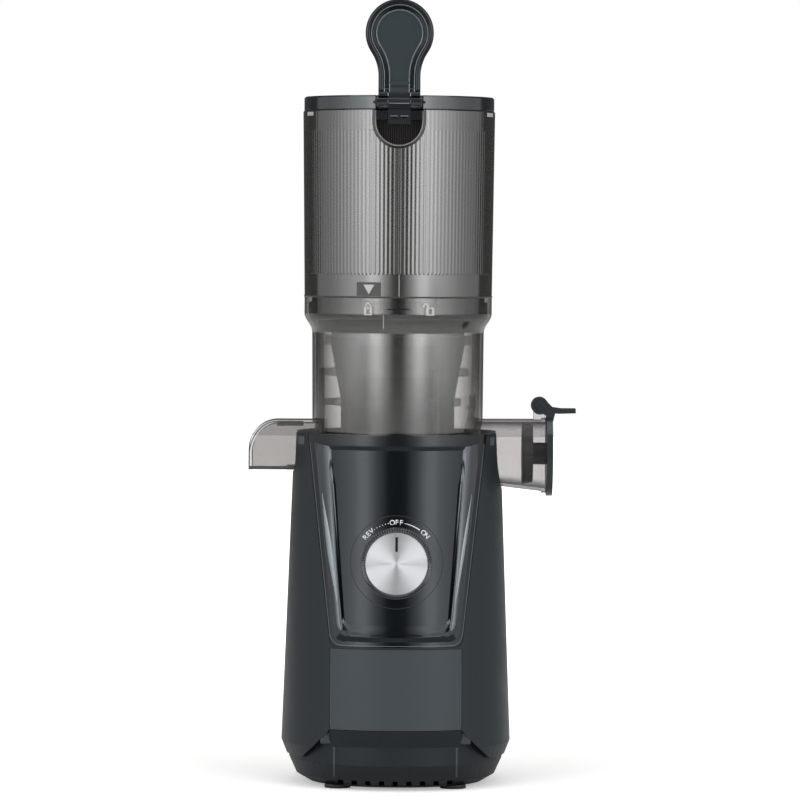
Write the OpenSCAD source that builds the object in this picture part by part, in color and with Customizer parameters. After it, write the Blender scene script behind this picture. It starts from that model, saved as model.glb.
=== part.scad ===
// Cold press juicer: a motor base, a bowl with strainer, brush cage and auger,
// a wide hopper that twists on, and a lid held shut by a latch lever.
// Millimetres. +X is right, -Y is the front, +Z is up.
// The origin is on the table, under the drive axis.

/* [Base] */
// Height of the base above the table
base_h = 245; // [235:1:260]
// Width of the deck beside the bowl's well, left and right
deck_side = 11.6; // [10.5:0.1:16]
// Width of the deck in front of the well
deck_front = 11.6; // [10.5:0.1:16]
// Width of the deck behind the well
deck_rear = 15.6; // [14:0.1:20]
// How much wider each side is low down than at the top
flare_side = 8; // [5:0.5:12]
// How much farther the front reaches low down than at the top
flare_front = 12; // [9:0.5:15]
// How much farther the rear reaches low down than at the top
flare_rear = 16; // [12:0.5:20]
// Height of the widest line of the housing
wide_z = 30; // [28:1:34]
// Height of the housing's lower edge
skirt_z = 21; // [20:0.5:24]
// Roundness of the base in plan, 2 for an ellipse and more for a squarer plan
plan_power = 2.2; // [2.2:0.1:3]
// Wall of the housing
shell_wall = 3; // [2.5:0.1:3.5]
// Wall of the glossy front panel
panel_wall = 5; // [4.5:0.1:5.5]
// Height of the rubber feet
foot_h = 2; // [1.5:0.1:3]
// Radius of a rubber foot
foot_r = 9; // [7:0.5:10]
// Distance of the feet from the centre plane, left and right
foot_x = 40; // [34:1:44]
// Distance of the feet from the drive axis, front and rear
foot_y = 46; // [40:1:50]

/* [Front] */
// Height of the front panel's lower edge
panel_z = 99.5; // [95:0.5:104]
// Distance of the front panel's top corners from the sides of the base
panel_side = 10; // [8:0.5:14]
// How much narrower each side of the panel is at its lower edge
panel_taper = 16.5; // [12:0.5:20]
// Depth of the dished face of the front panel
dish_depth = 2.4; // [1.5:0.1:3]
// Width of the panel's sloped border
dish_border = 9.5; // [7:0.5:12]
// Height of the bare plate's lower edge
plate_z = 42.5; // [40:0.5:46]
// Thickness of the bare plate
plate_t = 2.4; // [2:0.1:2.8]
// Height of the knob's axis
knob_z = 158; // [150:1:166]
// Radius of the knurled knob
knob_r = 24.7; // [22:0.1:26]
// Radius of the knob's metal face
knob_face_r = 21.3; // [18:0.1:21.8]
// Depth of the knob
knob_depth = 15; // [12:0.5:18]
// Radius of the switch shaft
switch_shaft_r = 3; // [2.5:0.1:4]

/* [Bowl] */
// Radius of the bowl just above the base
bowl_r = 59.2; // [57:0.2:62]
// How much wider the bowl's collar is than the bowl
collar_flare = 6.3; // [5.8:0.1:7]
// Depth of the bowl's well below the top of the base
bowl_sink = 46.8; // [46:0.2:48]
// Height of the bowl, up to the seam with the hopper
bowl_h = 141.4; // [138:0.2:146]
// Height of the collar
collar_h = 12; // [11:0.5:14]
// Wall of the bowl
bowl_wall = 2.6; // [2.4:0.1:3]
// Half width of the pulp chute
chute_half_w = 18; // [15:0.5:20]
// Height of the top of the pulp chute above the bowl's foot
chute_rise = 54.8; // [52:0.2:58]
// Height of the pulp chute itself
chute_h = 34.5; // [32:0.5:36]
// How far the pulp chute reaches beyond the bowl
chute_len = 44.5; // [40:0.5:48]
// Wall of the chute and the spout
duct_wall = 2.2; // [2:0.1:2.5]
// How far the juice spout reaches beyond the bowl
spout_len = 44.4; // [41:0.2:48]
// Outer radius of the juice spout at its mouth
mouth_r = 25.5; // [25:0.1:26.5]
// Outer radius of the juice spout at the bowl
spout_root_r = 22.3; // [21.5:0.1:23]
// Height of the top of the juice spout above the bowl's foot
spout_rise = 56.3; // [55:0.1:58]
// Largest twist of the hopper on the bowl, in degrees
twist = 36; // [34:1:38]

/* [Hopper] */
// Height of the hopper above the seam
hopper_h = 129; // [120:0.5:140]
// How much wider the hopper is at its rim than at the seam
hopper_flare = 1.5; // [1:0.1:3]
// Wall of the hopper
hopper_wall = 2.6; // [2.4:0.1:3]
// Distance of the hopper's lower skirt inside the collar
skirt_inset = 5.3; // [5.1:0.1:5.9]
// Number of fine ribs round the hopper's inner wall
rib_count = 144; // [96:4:160]
// Height of a fine rib
rib_h = 0.6; // [0.4:0.1:0.8]
// Half width of the finger recess under the lid's latch
recess_w = 16.5; // [15:0.5:18]
// Depth of the finger recess below the rim
recess_h = 25; // [22:0.5:28]
// Width of the closed border round the mouth in the hopper's floor
feed_border = 14.2; // [12:0.1:18]

/* [Lid] */
// Distance of the lid's edge inside the hopper's rim
lid_inset = 0.7; // [0.3:0.1:1.5]
// Height of the lid
lid_h = 9.5; // [9:0.1:12]
// Thickness of the lid's plate
lid_t = 3.4; // [2.6:0.1:4]
// Radius of the lever's round head
lever_r = 23.4; // [20:0.1:26]
// Height of the head's centre above the lever's pivot
lever_rise = 47.2; // [44:0.2:52]
// Half width of the lever's neck
neck_w = 14.4; // [12:0.1:15.4]
// Thickness of the lever
lever_t = 7; // [6:0.1:8]
// Half width of the lever's tongue between its ears
tongue_w = 7.6; // [6:0.1:8]
// Distance of the lever's pivot inside the lid's edge
pivot_inset = 0.7; // [0.1:0.1:1.2]
// Distance of the lid's hinge behind the hopper's rim
hinge_out = 6; // [5.4:0.2:8]
// Radius of the lever pin and the hinge pin
pin_r = 1.8; // [1.5:0.1:2]

/* [Juicing set] */
// Gear module
gear_m = 2; // [1.8:0.1:2]
// Teeth on the auger gear
sun_n = 12; // [12:1:12]
// Teeth on the idler gear
idler_n = 14; // [14:1:14]
// Face width of the gears
gear_w = 6; // [5:0.5:7]
// Inner radius of the strainer
sieve_r = 36.5; // [35.5:0.1:37]
// Wall of the strainer
sieve_wall = 1.5; // [1.4:0.1:2]
// Number of slots round the strainer
slot_count = 36; // [24:2:40]
// Width of a strainer slot
slot_w = 1.2; // [0.8:0.1:1.5]
// Space between the bowl's outside and the strainer's inside at its top
sieve_space = 13.7; // [13.2:0.1:15]
// Wall of the brush cage
cage_wall = 3.4; // [3:0.1:4]

/* [Juice stopper] */
// Distance of the stopper's pivot behind the spout's mouth
cap_back = 4.1; // [3:0.1:5]
// Height of the stopper's pivot above the spout
cap_rise = 9.2; // [9:0.1:10]
// Thickness of the stopper's plate
cap_t = 4.4; // [3.6:0.1:5]
// Radius of the stopper's plate
cap_r = 28.5; // [27.5:0.1:29.5]
// Radius of the plug seal
plug_r = 21.4; // [20.6:0.1:21.5]
// Reach of the thumb lever from the stopper's pivot
thumb_len = 25; // [20:0.5:28]

/* [Drive] */
// Radius of the motor
motor_r = 43; // [38:0.5:45]
// Height of the motor
motor_h = 78; // [70:1:82]
// Radius of the gearbox
gearbox_r = 46; // [42:0.5:48]
// Height of the gearbox
gearbox_h = 62; // [56:1:64]
// Radius of the drive shaft
shaft_r = 8; // [7:0.1:8.4]
// Corner radius of the drive shaft's hexagon
hex_r = 6.8; // [6:0.1:7]

/* [Hidden] */

$fn = 96;
eps = 0.01;
gap = 0.3;          // between pieces that move past each other
seat = 0.1;         // between pieces that seat on each other
run = 0.05;         // radial clearance of a running fit
plan_points = 72;   // points round the base's plan
cut = 400;          // longer than any piece that is cut through

// Radii and reaches, from the bowl outwards.
well_r = bowl_r + 1.2;
top_half_w = well_r + deck_side;
low_half_w = top_half_w + flare_side;
top_front = well_r + deck_front;
low_front = top_front + flare_front;
top_rear = well_r + deck_rear;
low_rear = top_rear + flare_rear;
panel_top_w = top_half_w - panel_side;
panel_low_w = panel_top_w - panel_taper;
collar_r = bowl_r + collar_flare;
skirt_r = collar_r - skirt_inset;
feed_r = skirt_r - feed_border;
rim_r = collar_r + hopper_flare;
lid_r = rim_r - lid_inset;
lever_y = lid_r - pivot_inset;
hinge_y = rim_r + hinge_out;
sieve_top_r = bowl_r - sieve_space;
chute_reach = bowl_r + chute_len;
mouth_x = bowl_r + spout_len;
cap_x = mouth_x - cap_back;

// Heights, from the base upwards.
bowl_z = base_h - bowl_sink;
seam_z = bowl_z + bowl_h;
rim_z = seam_z + hopper_h;
chute_z = bowl_z + chute_rise;
chute_low_z = chute_z - chute_h;
spout_z = bowl_z + spout_rise;
cap_z = spout_z + cap_rise;
lid_z = rim_z + gap;
lid_top = lid_z + lid_h;
lever_z = lid_top - 4.9;
hinge_z = lid_z + 3.2;
well_z = bowl_z - seat;
deck_z = base_h - 0.8;
bowl_floor = bowl_z + 5.8;
gear_z = bowl_floor + 0.4;

// ---------- plan of the base ----------
// Radius of the plan in a direction. a and b are its half axes.
function plan_radius(t, a, b, p) = pow(pow(abs(cos(t)) / a, p) + pow(abs(sin(t)) / b, p), -1 / p);
function plan(half_w, front, rear, p = plan_power) = [
    for (i = [0:plan_points - 1])
        let (t = 360 * (i + 0.5) / plan_points,
             r = plan_radius(t, half_w, sin(t) < 0 ? front : rear, p))
        [r * cos(t), r * sin(t)]];

module slice(z, half_w, front, rear)
    translate([0, 0, z - eps]) linear_extrude(eps) polygon(plan(half_w, front, rear));

// The outside of the housing, moved inwards by inset.
module base_form(inset, top = base_h) {
    low = [low_half_w, low_front, low_rear];
    high = [top_half_w, top_front, top_rear];
    hull() {
        slice(skirt_z, low[0] - 3.5 - inset, low[1] - 3.5 - inset, low[2] - 3.5 - inset);
        slice(wide_z, low[0] - inset, low[1] - inset, low[2] - inset);
        slice(top, high[0] - inset, high[1] - inset, high[2] - inset);
    }
}

// The foot under the housing, moved inwards by inset and up by lift.
foot_inset = 5.5;
foot_top = plate_z - 8;
module ring_slice(z, inset)
    slice(z, low_half_w - inset, low_front - inset, low_rear - inset);
module foot_form(inset, lift = 0)
    hull()
        for (s = [[foot_h, 19], [foot_h + 5, 10.5], [18, foot_inset], [foot_top, foot_inset + 0.5]])
            ring_slice(s[0] + lift, s[1] + inset);

// A shape in the front view, run from y0 to y1.
module front_run(y0, y1)
    translate([0, y1, 0]) rotate([90, 0, 0]) linear_extrude(y1 - y0) children();

// Half width of the front panel at a height.
function panel_w(z) = panel_low_w + (panel_top_w - panel_low_w) * (z - panel_z) / (base_h - panel_z);

module panel_outline(inset, top) {
    low = panel_z + inset;
    corner = 6;
    offset(corner) offset(-corner)
        polygon([[-panel_w(low) + inset, low], [panel_w(low) - inset, low],
                 [panel_w(top) - inset, top], [-panel_w(top) + inset, top]]);
    polygon([[-panel_w(low + 20) + inset, low + 20], [panel_w(low + 20) - inset, low + 20],
             [panel_w(top) - inset, top], [-panel_w(top) + inset, top]]);
}

module plate_outline(inset)
    translate([-panel_low_w + inset, plate_z + inset])
        square([2 * (panel_low_w - inset), panel_z - 1 - plate_z - 2 * inset]);

// Everything below the housing's lower edge, which rises in front to the plate.
module below_edge(lower) {
    z0 = skirt_z - lower;
    z1 = plate_z - lower;
    side = panel_low_w + (z1 - z0) * 0.9;
    front_run(-cut, 0)
        polygon([[-cut, -cut], [cut, -cut], [cut, z0], [side, z0], [panel_low_w, z1],
                 [-panel_low_w, z1], [-side, z0], [-cut, z0]]);
    translate([-cut, -eps, -cut]) cube([2 * cut, cut, cut + z0]);
}

module duct_notches(grow = 0) {
    notch = chute_half_w + 0.8 + grow;
    spout_half = mouth_r - 1 + grow;
    translate([-cut, -notch, chute_low_z - 1.5 - grow]) cube([cut - 40, 2 * notch, cut]);
    translate([40, -spout_half, spout_mid_z]) cube([cut, 2 * spout_half, cut]);
    translate([40, 0, spout_mid_z]) rotate([0, 90, 0]) cylinder(h = cut, r = spout_half);
}

// ---------- the base ----------
module housing_shell() color("#303639") {
    difference() {
        base_form(0);
        base_form(shell_wall, base_h + 1);
        below_edge(0);
        front_run(-cut, -30) panel_outline(0, base_h + 1);
        front_run(-cut, -30) plate_outline(0);
        duct_notches();
        translate([0, low_rear - 20, cord_z]) rotate([-90, 0, 0]) cylinder(h = 40, r = cord_r);
    }
    // rebate that the panel and the plate seat on
    rebate = panel_wall + seat;
    difference() {
        intersection() {
            base_form(rebate);
            front_run(-cut, -30) {
                panel_outline(-3, deck_z - 6);
                plate_outline(-3);
            }
        }
        base_form(rebate + 2);
        front_run(-cut, -30) panel_outline(4, base_h);
        front_run(-cut, -30) plate_outline(4);
        below_edge(0);
    }
    // lugs that tie the rebate to the wall
    intersection() {
        difference() {
            base_form(shell_wall - 0.5);
            base_form(rebate + 0.5);
        }
        front_run(-cut, -30) difference() {
            panel_outline(-3, deck_z - 6);
            panel_outline(0, base_h);
        }
    }
}

module front_panel() color("#1b1f22")
    difference() {
        intersection() {
            base_form(0);
            front_run(-cut, -30) panel_outline(gap, base_h);
        }
        base_form(panel_wall, base_h + 1);
        difference() {
            hull() {
                front_run(-low_front - 1, -low_front) panel_outline(dish_border - 3, base_h - 14);
                front_run(-top_front + 12, -top_front + 13) panel_outline(dish_border + 4, base_h - 20);
            }
            base_form(dish_depth, base_h + 1);
        }
        front_run(-cut, -30) translate([0, knob_z]) circle(switch_neck_r + seat);
    }

module front_plate() color("#474b4e")
    difference() {
        intersection() {
            base_form(0);
            front_run(-cut, -30) plate_outline(gap);
        }
        base_form(plate_t);
    }

well_wall = 2.4;
module top_deck() color("#22272a")
    difference() {
        intersection() {
            base_form(panel_wall + gap);
            translate([-cut, -cut, deck_z - 3.5]) cube([2 * cut, 2 * cut, 3.5]);
        }
        translate([0, 0, deck_z - 5]) cylinder(h = cut, r = well_r + well_wall + eps);
        duct_notches(0.4);
    }

// The cup that the bowl stands in, with the hub of the shaft's bearing under it.
module bowl_well() color("#22272a")
    difference() {
        union() {
            translate([0, 0, well_z - 4])
                cylinder(h = deck_z - 0.5 - well_z + 4, r = well_r + well_wall);
            translate([0, 0, well_z - bearing_h - 3]) cylinder(h = bearing_h + 3, r = bearing_r + 3);
        }
        translate([0, 0, well_z]) cylinder(h = cut, r = well_r);
        translate([0, 0, well_z - bearing_h - 1]) cylinder(h = bearing_h, r = bearing_r);
        translate([0, 0, well_z - cut / 2]) cylinder(h = cut, r = shaft_r + 1.2);
        duct_notches(0.4);
    }

vent_count = 9;
vent_pitch = 9.4;
module bottom_cover() color("#26292d") {
    difference() {
        union() {
            foot_form(0);
            // sloped lip that rises to the plate
            intersection() {
                hull() {
                    ring_slice(foot_top - 5, foot_inset + 0.8);
                    ring_slice(plate_z - seat, 0.9);
                }
                front_run(-cut, 0)
                    translate([-panel_low_w, foot_top - 5]) square([2 * panel_low_w, cut]);
            }
        }
        hull() {
            ring_slice(foot_h + shell_wall, 19 + shell_wall);
            ring_slice(foot_h + shell_wall + 5, 10.5 + shell_wall);
            ring_slice(18, foot_inset + shell_wall);
            ring_slice(plate_z + 1, foot_inset + shell_wall + 0.6);
        }
        difference() {
            translate([-cut, -cut, skirt_z - seat]) cube([2 * cut, 2 * cut, cut]);
            below_edge(seat);
        }
        for (i = [0:vent_count - 1])
            translate([(i - (vent_count - 1) / 2) * vent_pitch - 1.8, -low_front, foot_h + 1.4])
                cube([3.6, 40, 3.6]);
        for (x = [-1, 1], y = [-1, 1])
            translate([x * screw_x, y * screw_y, 0]) cylinder(h = cut, r = 1.8, $fn = 24);
    }
}

module rubber_feet() color("#1c1d1e")
    for (x = [-1, 1], y = [-1, 1])
        translate([x * foot_x, y * foot_y, 0]) cylinder(h = foot_h - eps, r = foot_r, $fn = 48);

screw_x = 44;
screw_y = 30;
module case_screws() color("#8c8e90")
    for (x = [-1, 1], y = [-1, 1])
        translate([x * screw_x, y * screw_y, foot_h - 1]) {
            cylinder(h = 1 - eps, r = 3.4, $fn = 24);
            cylinder(h = 12, r = 1.6, $fn = 24);
        }

damper_h = 9;
motor_z = foot_h + shell_wall + damper_h;
module motor_dampers() color("#1d1f20")
    for (a = [45:90:315])
        rotate(a) translate([motor_r - 9, 0, foot_h + shell_wall])
            cylinder(h = damper_h, r = 6, $fn = 36);

gearbox_z = motor_z + motor_h;
screw_ring = motor_r - 4;   // radius that the gearbox screws stand on
screw_depth = 5;
module motor() color("#6e7275")
    difference() {
        union() {
            rotate_extrude()
                polygon([[0, motor_z], [motor_r, motor_z], [motor_r, motor_z + 6],
                         [motor_r - 3, motor_z + 6],
                         [motor_r - 3, gearbox_z - 6], [motor_r, gearbox_z - 6], [motor_r, gearbox_z],
                         [0, gearbox_z]]);
            for (a = [30:60:330])
                rotate(a) translate([motor_r - 3.5, 0, motor_z + 5])
                    cylinder(h = motor_h - 10, r = 2.4, $fn = 24);
        }
        for (a = [45:90:315])
            rotate(a) translate([screw_ring, 0, gearbox_z - screw_depth - 0.5])
                cylinder(h = 20, r = 1.7 + eps, $fn = 24);
    }

bearing_h = 8;
bearing_r = 14;
module gearbox() color("#3a3d40")
    difference() {
        union() {
            translate([0, 0, gearbox_z]) cylinder(h = gearbox_h * 0.55, r = gearbox_r);
            translate([0, 0, gearbox_z + gearbox_h * 0.55])
                cylinder(h = gearbox_h * 0.45, r1 = gearbox_r, r2 = gearbox_r * 0.6);
        }
        translate([0, 0, gearbox_z + 20]) cylinder(h = cut, r = shaft_r + 0.06);
        for (a = [45:90:315])
            rotate(a) translate([screw_ring, 0, gearbox_z]) {
                translate([0, 0, -1]) cylinder(h = 20, r = 1.9, $fn = 24);
                translate([0, 0, 10 - eps]) cylinder(h = gearbox_h, r = 3.8, $fn = 24);
            }
    }

module gearbox_screws() color("#8c8e90")
    for (a = [45:90:315])
        rotate(a) translate([screw_ring, 0, gearbox_z - screw_depth]) {
            cylinder(h = screw_depth + 11, r = 1.7, $fn = 24);
            translate([0, 0, screw_depth + 10]) cylinder(h = 2.5, r = 3.4, $fn = 24);
        }

module ring(z, h, r_in, r_out)
    translate([0, 0, z]) difference() {
        cylinder(h = h, r = r_out);
        translate([0, 0, -1]) cylinder(h = h + 2, r = r_in);
    }

module shaft_bearing() color("#b9bcbe")
    ring(well_z - bearing_h - 1, bearing_h, shaft_r + 0.06, bearing_r - eps);

module shaft_seal() color("#1c1d1e")
    ring(well_z - 1, 1, shaft_r + 0.4, shaft_r + 1.2);

shaft_low = gearbox_z + 22;
shaft_top = well_z - 0.6;
hex_h = 26;
module drive_shaft() color("#c3c6c8") {
    translate([0, 0, shaft_low]) cylinder(h = shaft_top - shaft_low, r = shaft_r);
    translate([0, 0, shaft_top]) cylinder(h = hex_h, r = hex_r, $fn = 6);
}

// Front of the dished panel on the centre plane, at a height.
function face_y(z) = -(low_front + (top_front - low_front) * (z - wide_z) / (base_h - wide_z)) + dish_depth;
knob_back = face_y(knob_z - knob_r) - 0.4;
knob_front = knob_back - knob_depth;
switch_neck_r = 5.5;
switch_half = 14;
switch_front = face_y(knob_z + switch_half) + panel_wall - dish_depth + 1.2;
nut_r = 9;
nut_back = face_y(knob_z - nut_r) - seat;
neck_front = nut_back - 2.4;
module along_y(y, z, x = 0) translate([x, y, z]) rotate([-90, 0, 0]) children();

module rotary_switch() color("#d8d5cc") {
    difference() {
        union() {
            translate([-switch_half, switch_front, knob_z - switch_half])
                cube([2 * switch_half, 15, 2 * switch_half]);
            along_y(neck_front, knob_z) cylinder(h = switch_front - neck_front + eps, r = switch_neck_r);
            for (x = [-9, 0, 9])
                translate([x - 2.4, switch_front + 15, knob_z - 8]) cube([4.8, 6, 0.8]);
        }
        along_y(neck_front - 1, knob_z)
            cylinder(h = switch_front - neck_front + 12, r = switch_shaft_r + run);
    }
}

module switch_nut() color("#b9bcbe")
    difference() {
        along_y(nut_back - 2, knob_z) cylinder(h = 2, r = nut_r, $fn = 6);
        along_y(nut_back - 4, knob_z) cylinder(h = 6, r = switch_neck_r + eps);
    }

module switch_shaft() color("#c3c6c8")
    along_y(knob_front + 4, knob_z) cylinder(h = switch_front + 9 - knob_front - 4, r = switch_shaft_r);

knurl_count = 72;
knurl_depth = 0.5;
module knob_body() color("#2a2d2f")
    difference() {
        along_y(knob_front, knob_z) {
            translate([0, 0, 3]) linear_extrude(knob_depth - 3)
                polygon([for (i = [0:2 * knurl_count - 1])
                    let (a = 180 * i / knurl_count, r = knob_r - (i % 2) * knurl_depth)
                    [r * cos(a), r * sin(a)]]);
            cylinder(h = 3, r1 = knob_face_r + 1.2, r2 = knob_r - knurl_depth - 0.1);
        }
        along_y(knob_front - 1, knob_z) cylinder(h = 3, r = knob_face_r + eps);
        along_y(knob_front + 4, knob_z) cylinder(h = cut, r = switch_shaft_r + eps);
        difference() {
            along_y(knob_front + 6, knob_z) cylinder(h = cut, r = knob_r - 3);
            along_y(knob_front, knob_z) cylinder(h = knob_depth - 3, r = switch_shaft_r + 3);
        }
    }

module knob_face() color("#c9cccf")
    difference() {
        along_y(knob_front + 0.6, knob_z) cylinder(h = 1.4, r = knob_face_r);
        translate([-0.9, knob_front, knob_z + 8.4]) cube([1.8, 1.2, 10]);
    }

board_y = low_rear - 30;
board_t = 1.6;
board_w = 60;
board_h = 80;
board_z = 70;
module control_board() color("#2f6b4a")
    translate([-board_w / 2, board_y, board_z]) cube([board_w, board_t - eps, board_h]);

cap_part_h = 16;    // height of the tallest capacitor on the board
module board_parts() color("#30343a") {
    for (p = [[-0.3, 0.28, 0.15, 1], [0.07, 0.22, 0.12, 0.62], [0.33, 0.37, 0.1, 0.5]])
        translate([p[0] * board_w, board_y - eps, board_z + p[1] * board_h]) rotate([90, 0, 0])
            cylinder(h = p[3] * cap_part_h, r = p[2] * board_w, $fn = 48);
    translate([-0.4 * board_w, board_y - 0.75 * cap_part_h, board_z + 0.62 * board_h])
        cube([board_w / 3, 0.75 * cap_part_h - eps, board_h * 0.22]);
    translate([board_w / 15, board_y - 0.55 * cap_part_h, board_z + 0.65 * board_h])
        cube([board_w / 3, 0.55 * cap_part_h - eps, board_h * 0.15]);
    // posts that hold the board on the rear wall
    intersection() {
        base_form(shell_wall + seat);
        for (x = [-1, 1], z = [4, board_h - 4])
            along_y(board_y + board_t, board_z + z, x * (board_w / 2 - 4))
                cylinder(h = cut, r = 2.5, $fn = 24);
    }
}

module safety_switch() color("#1f2224")
    translate([-9, well_r + 2.5, deck_z - 3.5 - 14 - eps]) cube([18, 5.5, 14]);

cord_z = 40;
cord_r = 8;
flange_t = 5;
module cord_inlet() color("#1c1d1e")
    difference() {
        inner = low_rear - 10;
        outer = low_rear + seat;
        union() {
            along_y(inner, cord_z) cylinder(h = outer + flange_t - inner, r = cord_r - seat, $fn = 48);
            for (y = [inner, outer])
                along_y(y, cord_z) cylinder(h = flange_t, r = cord_r + 2.5, $fn = 48);
        }
        along_y(inner - 10, cord_z) cylinder(h = 40, r = 3.6, $fn = 48);
    }

// ---------- the bowl ----------
shoulder_low = seam_z - collar_h - 13;
shoulder_high = seam_z - collar_h;
bowl_top_r = bowl_r + 0.8;
groove_r = collar_r - 3;
// Radius on the shoulder's S-curve; t runs from 0 at its foot to 1 at the collar.
function s_curve(r0, r1, t) = r0 + (r1 - r0) * (1 - cos(180 * t)) / 2;
shoulder_steps = 8;
function shoulder(r0, r1, down = false) = [
    for (i = [0:shoulder_steps])
        let (t = (down ? shoulder_steps - i : i) / shoulder_steps)
        [s_curve(r0, r1, t), shoulder_low + (shoulder_high - shoulder_low) * t]];

lip_h = 3.8;
lug_count = 4;
hub_r = 9.1;
seal_w = 2.4;       // groove of the seal round the auger's journal
seal_z = bowl_z + 3;
module bowl() color("#6b6866", 0.6) {
    difference() {
        rotate_extrude()
            polygon(concat(
                [[hub_r, bowl_z + 1.8], [bowl_r - 4, bowl_z + 1.8], [bowl_r - 4, bowl_z], [bowl_r, bowl_z]],
                shoulder(bowl_top_r, collar_r),
                [[collar_r, seam_z - gap], [groove_r, seam_z - gap]],
                shoulder(bowl_top_r - bowl_wall, groove_r, true),
                [[bowl_r - bowl_wall, bowl_floor], [hub_r + seal_w, bowl_floor],
                 [hub_r + seal_w, seal_z], [hub_r, seal_z]]));
        // where the pulp and the juice leave
        translate([-bowl_r - 10, -chute_half_w + duct_wall, chute_low_z + duct_wall])
            cube([30, 2 * (chute_half_w - duct_wall), chute_z - chute_low_z - 2 * duct_wall]);
        translate([bowl_r - 12, 0, spout_root_z]) rotate([0, 90, 0])
            cylinder(h = 30, r = spout_root_r - duct_wall);
    }
    // bayonet lips at the top of the collar
    for (i = [0:lug_count - 1])
        rotate(i * 360 / lug_count - 25)
            rotate_extrude(angle = 50) translate([skirt_r + gap, seam_z - gap - lip_h])
                square([groove_r - skirt_r - gap + 0.2, lip_h]);
    // posts that carry the strainer
    for (a = [200, 270, 340])
        rotate(a) translate([gear_c, 0, bowl_floor - eps])
            cylinder(h = sieve_z - bowl_floor, r = 4, $fn = 48);
}

chute_arc = 20;
module chute_outline(inset) {
    x0 = -chute_reach + inset;
    top = chute_z - inset;
    translate([x0 + chute_arc, top - chute_arc]) circle(chute_arc);
    translate([x0 + chute_arc, chute_low_z - 1]) square([80, top - chute_low_z + 1]);
    translate([x0, chute_low_z - 1]) square([60, top - chute_arc - chute_low_z + 1]);
}

module bowl_core(grow = 0)
    translate([0, 0, bowl_z])
        cylinder(h = shoulder_low - bowl_z, r1 = bowl_r + grow, r2 = bowl_top_r + grow);

module pulp_chute() color("#aeacaa", 0.6) {
    w = chute_half_w;
    difference() {
        intersection() {
            front_run(-w, w) chute_outline(0);
            translate([-cut - 20, -w, chute_low_z]) cube([cut, 2 * w, cut]);
        }
        difference() {
            front_run(-w + duct_wall, w - duct_wall) chute_outline(duct_wall);
            translate([-well_r - 17, -cut / 2, chute_low_z]) cube([cut, cut, duct_wall]);
        }
        bowl_core(eps);
    }
}

spout_root_x = bowl_r - 8;
spout_root_z = spout_z - spout_root_r - 0.2;
spout_mid_z = spout_z - mouth_r;
// The spout is a cone whose axis dips towards the mouth.
module spout_form(inset, past = 4) {
    run_x = mouth_x - spout_root_x;
    grow = (mouth_r - spout_root_r) / run_x;
    dip = atan((spout_root_z - spout_mid_z) / run_x);
    translate([spout_root_x, 0, spout_root_z]) rotate([0, 90 + dip, 0])
        cylinder(h = run_x + past, r1 = spout_root_r - inset, r2 = mouth_r + grow * past - inset);
}

ear_w = 5.2;
module juice_spout() color("#b2adaf", 0.6)
    difference() {
        union() {
            spout_form(0);
            translate([mouth_x - 3, 0, spout_mid_z]) rotate([0, 90, 0]) cylinder(h = 3, r = mouth_r + 1);
            // ear that the stopper hangs on
            front_run(-ear_w, ear_w) {
                translate([cap_x, cap_z]) circle(4.4);
                translate([cap_x - 4.4, spout_z - 1.5]) square([8, cap_rise + 1.5]);
            }
        }
        spout_form(duct_wall, 8);
        translate([mouth_x, -cut / 2, cap_z - cut / 2 - 5]) cube([cut, cut, cut / 2]);
        bowl_core(eps);
        along_y(-20, cap_z, cap_x) cylinder(h = 40, r = pin_r + eps, $fn = 36);
    }

module bowl_seal() color("#8e3b2e")
    ring(seal_z, bowl_floor - seal_z - seat, hub_r + seat, hub_r + seal_w - eps);

sieve_z = bowl_floor + 9.2;
sieve_knee = sieve_z + 54;
sieve_top = seam_z - 23.6;
flange_r = sieve_top_r + 5.5;
module strainer() color("#7c7b79") {
    r = sieve_r;
    w = sieve_wall;
    difference() {
        rotate_extrude()
            polygon([[12.6, sieve_z], [r + w, sieve_z], [r + w, sieve_knee], [sieve_top_r + w, sieve_top],
                     [flange_r, sieve_top], [flange_r, sieve_top + 2.4], [sieve_top_r, sieve_top + 2.4],
                     [sieve_top_r, sieve_top], [r, sieve_knee], [r, sieve_z + 2.6], [12.6, sieve_z + 2.6]]);
        for (i = [0:slot_count - 1])
            rotate(i * 360 / slot_count)
                translate([r - 2, -slot_w / 2, sieve_z + 9]) cube([8, slot_w, 38]);
    }
}

// ---------- gears ----------
// Half angle of a tooth at radius r, for n teeth with extra degrees of slack.
press = 25;
function involute(a) = tan(a) * 180 / PI - a;
function tooth_half(n, r, slack) =
    let (rb = n * gear_m / 2 * cos(press))
    90 / n - slack + involute(press) - involute(acos(min(1, rb / max(r, rb))));
function polar(r, a) = [r * cos(a), r * sin(a)];
gear_steps = 4;
function gear_points(n, root, tip, slack) = [
    for (i = [0:n - 1], j = [0:2 * gear_steps + 1])
        let (k = j <= gear_steps ? j : 2 * gear_steps + 1 - j,
             r = root + (tip - root) * k / gear_steps,
             a = tooth_half(n, r, slack))
        polar(r, 360 * i / n + (j <= gear_steps ? -a : a))];

gear_c = (sun_n + idler_n) * gear_m / 2;
ring_n = sun_n + 2 * idler_n;
addendum = 0.8 * gear_m;
dedendum = gear_m;
function pitch_r(n) = n * gear_m / 2;
module gear(n, slack = 0.5)
    polygon(gear_points(n, pitch_r(n) - dedendum, pitch_r(n) + addendum, slack));

idler_at = 90;      // where the idler sits, seen from above
module idler_gear() color("#e4e1da")
    rotate(idler_at) translate([gear_c, 0, gear_z])
        difference() {
            linear_extrude(gear_w) rotate(180 / idler_n) gear(idler_n);
            translate([0, 0, -1]) cylinder(h = gear_w + 2, r = 3 + run, $fn = 48);
        }

module idler_pin() color("#c3c6c8")
    rotate(idler_at) translate([gear_c, 0, bowl_floor])
        cylinder(h = sieve_z - bowl_floor - eps, r = 3, $fn = 48);

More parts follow.
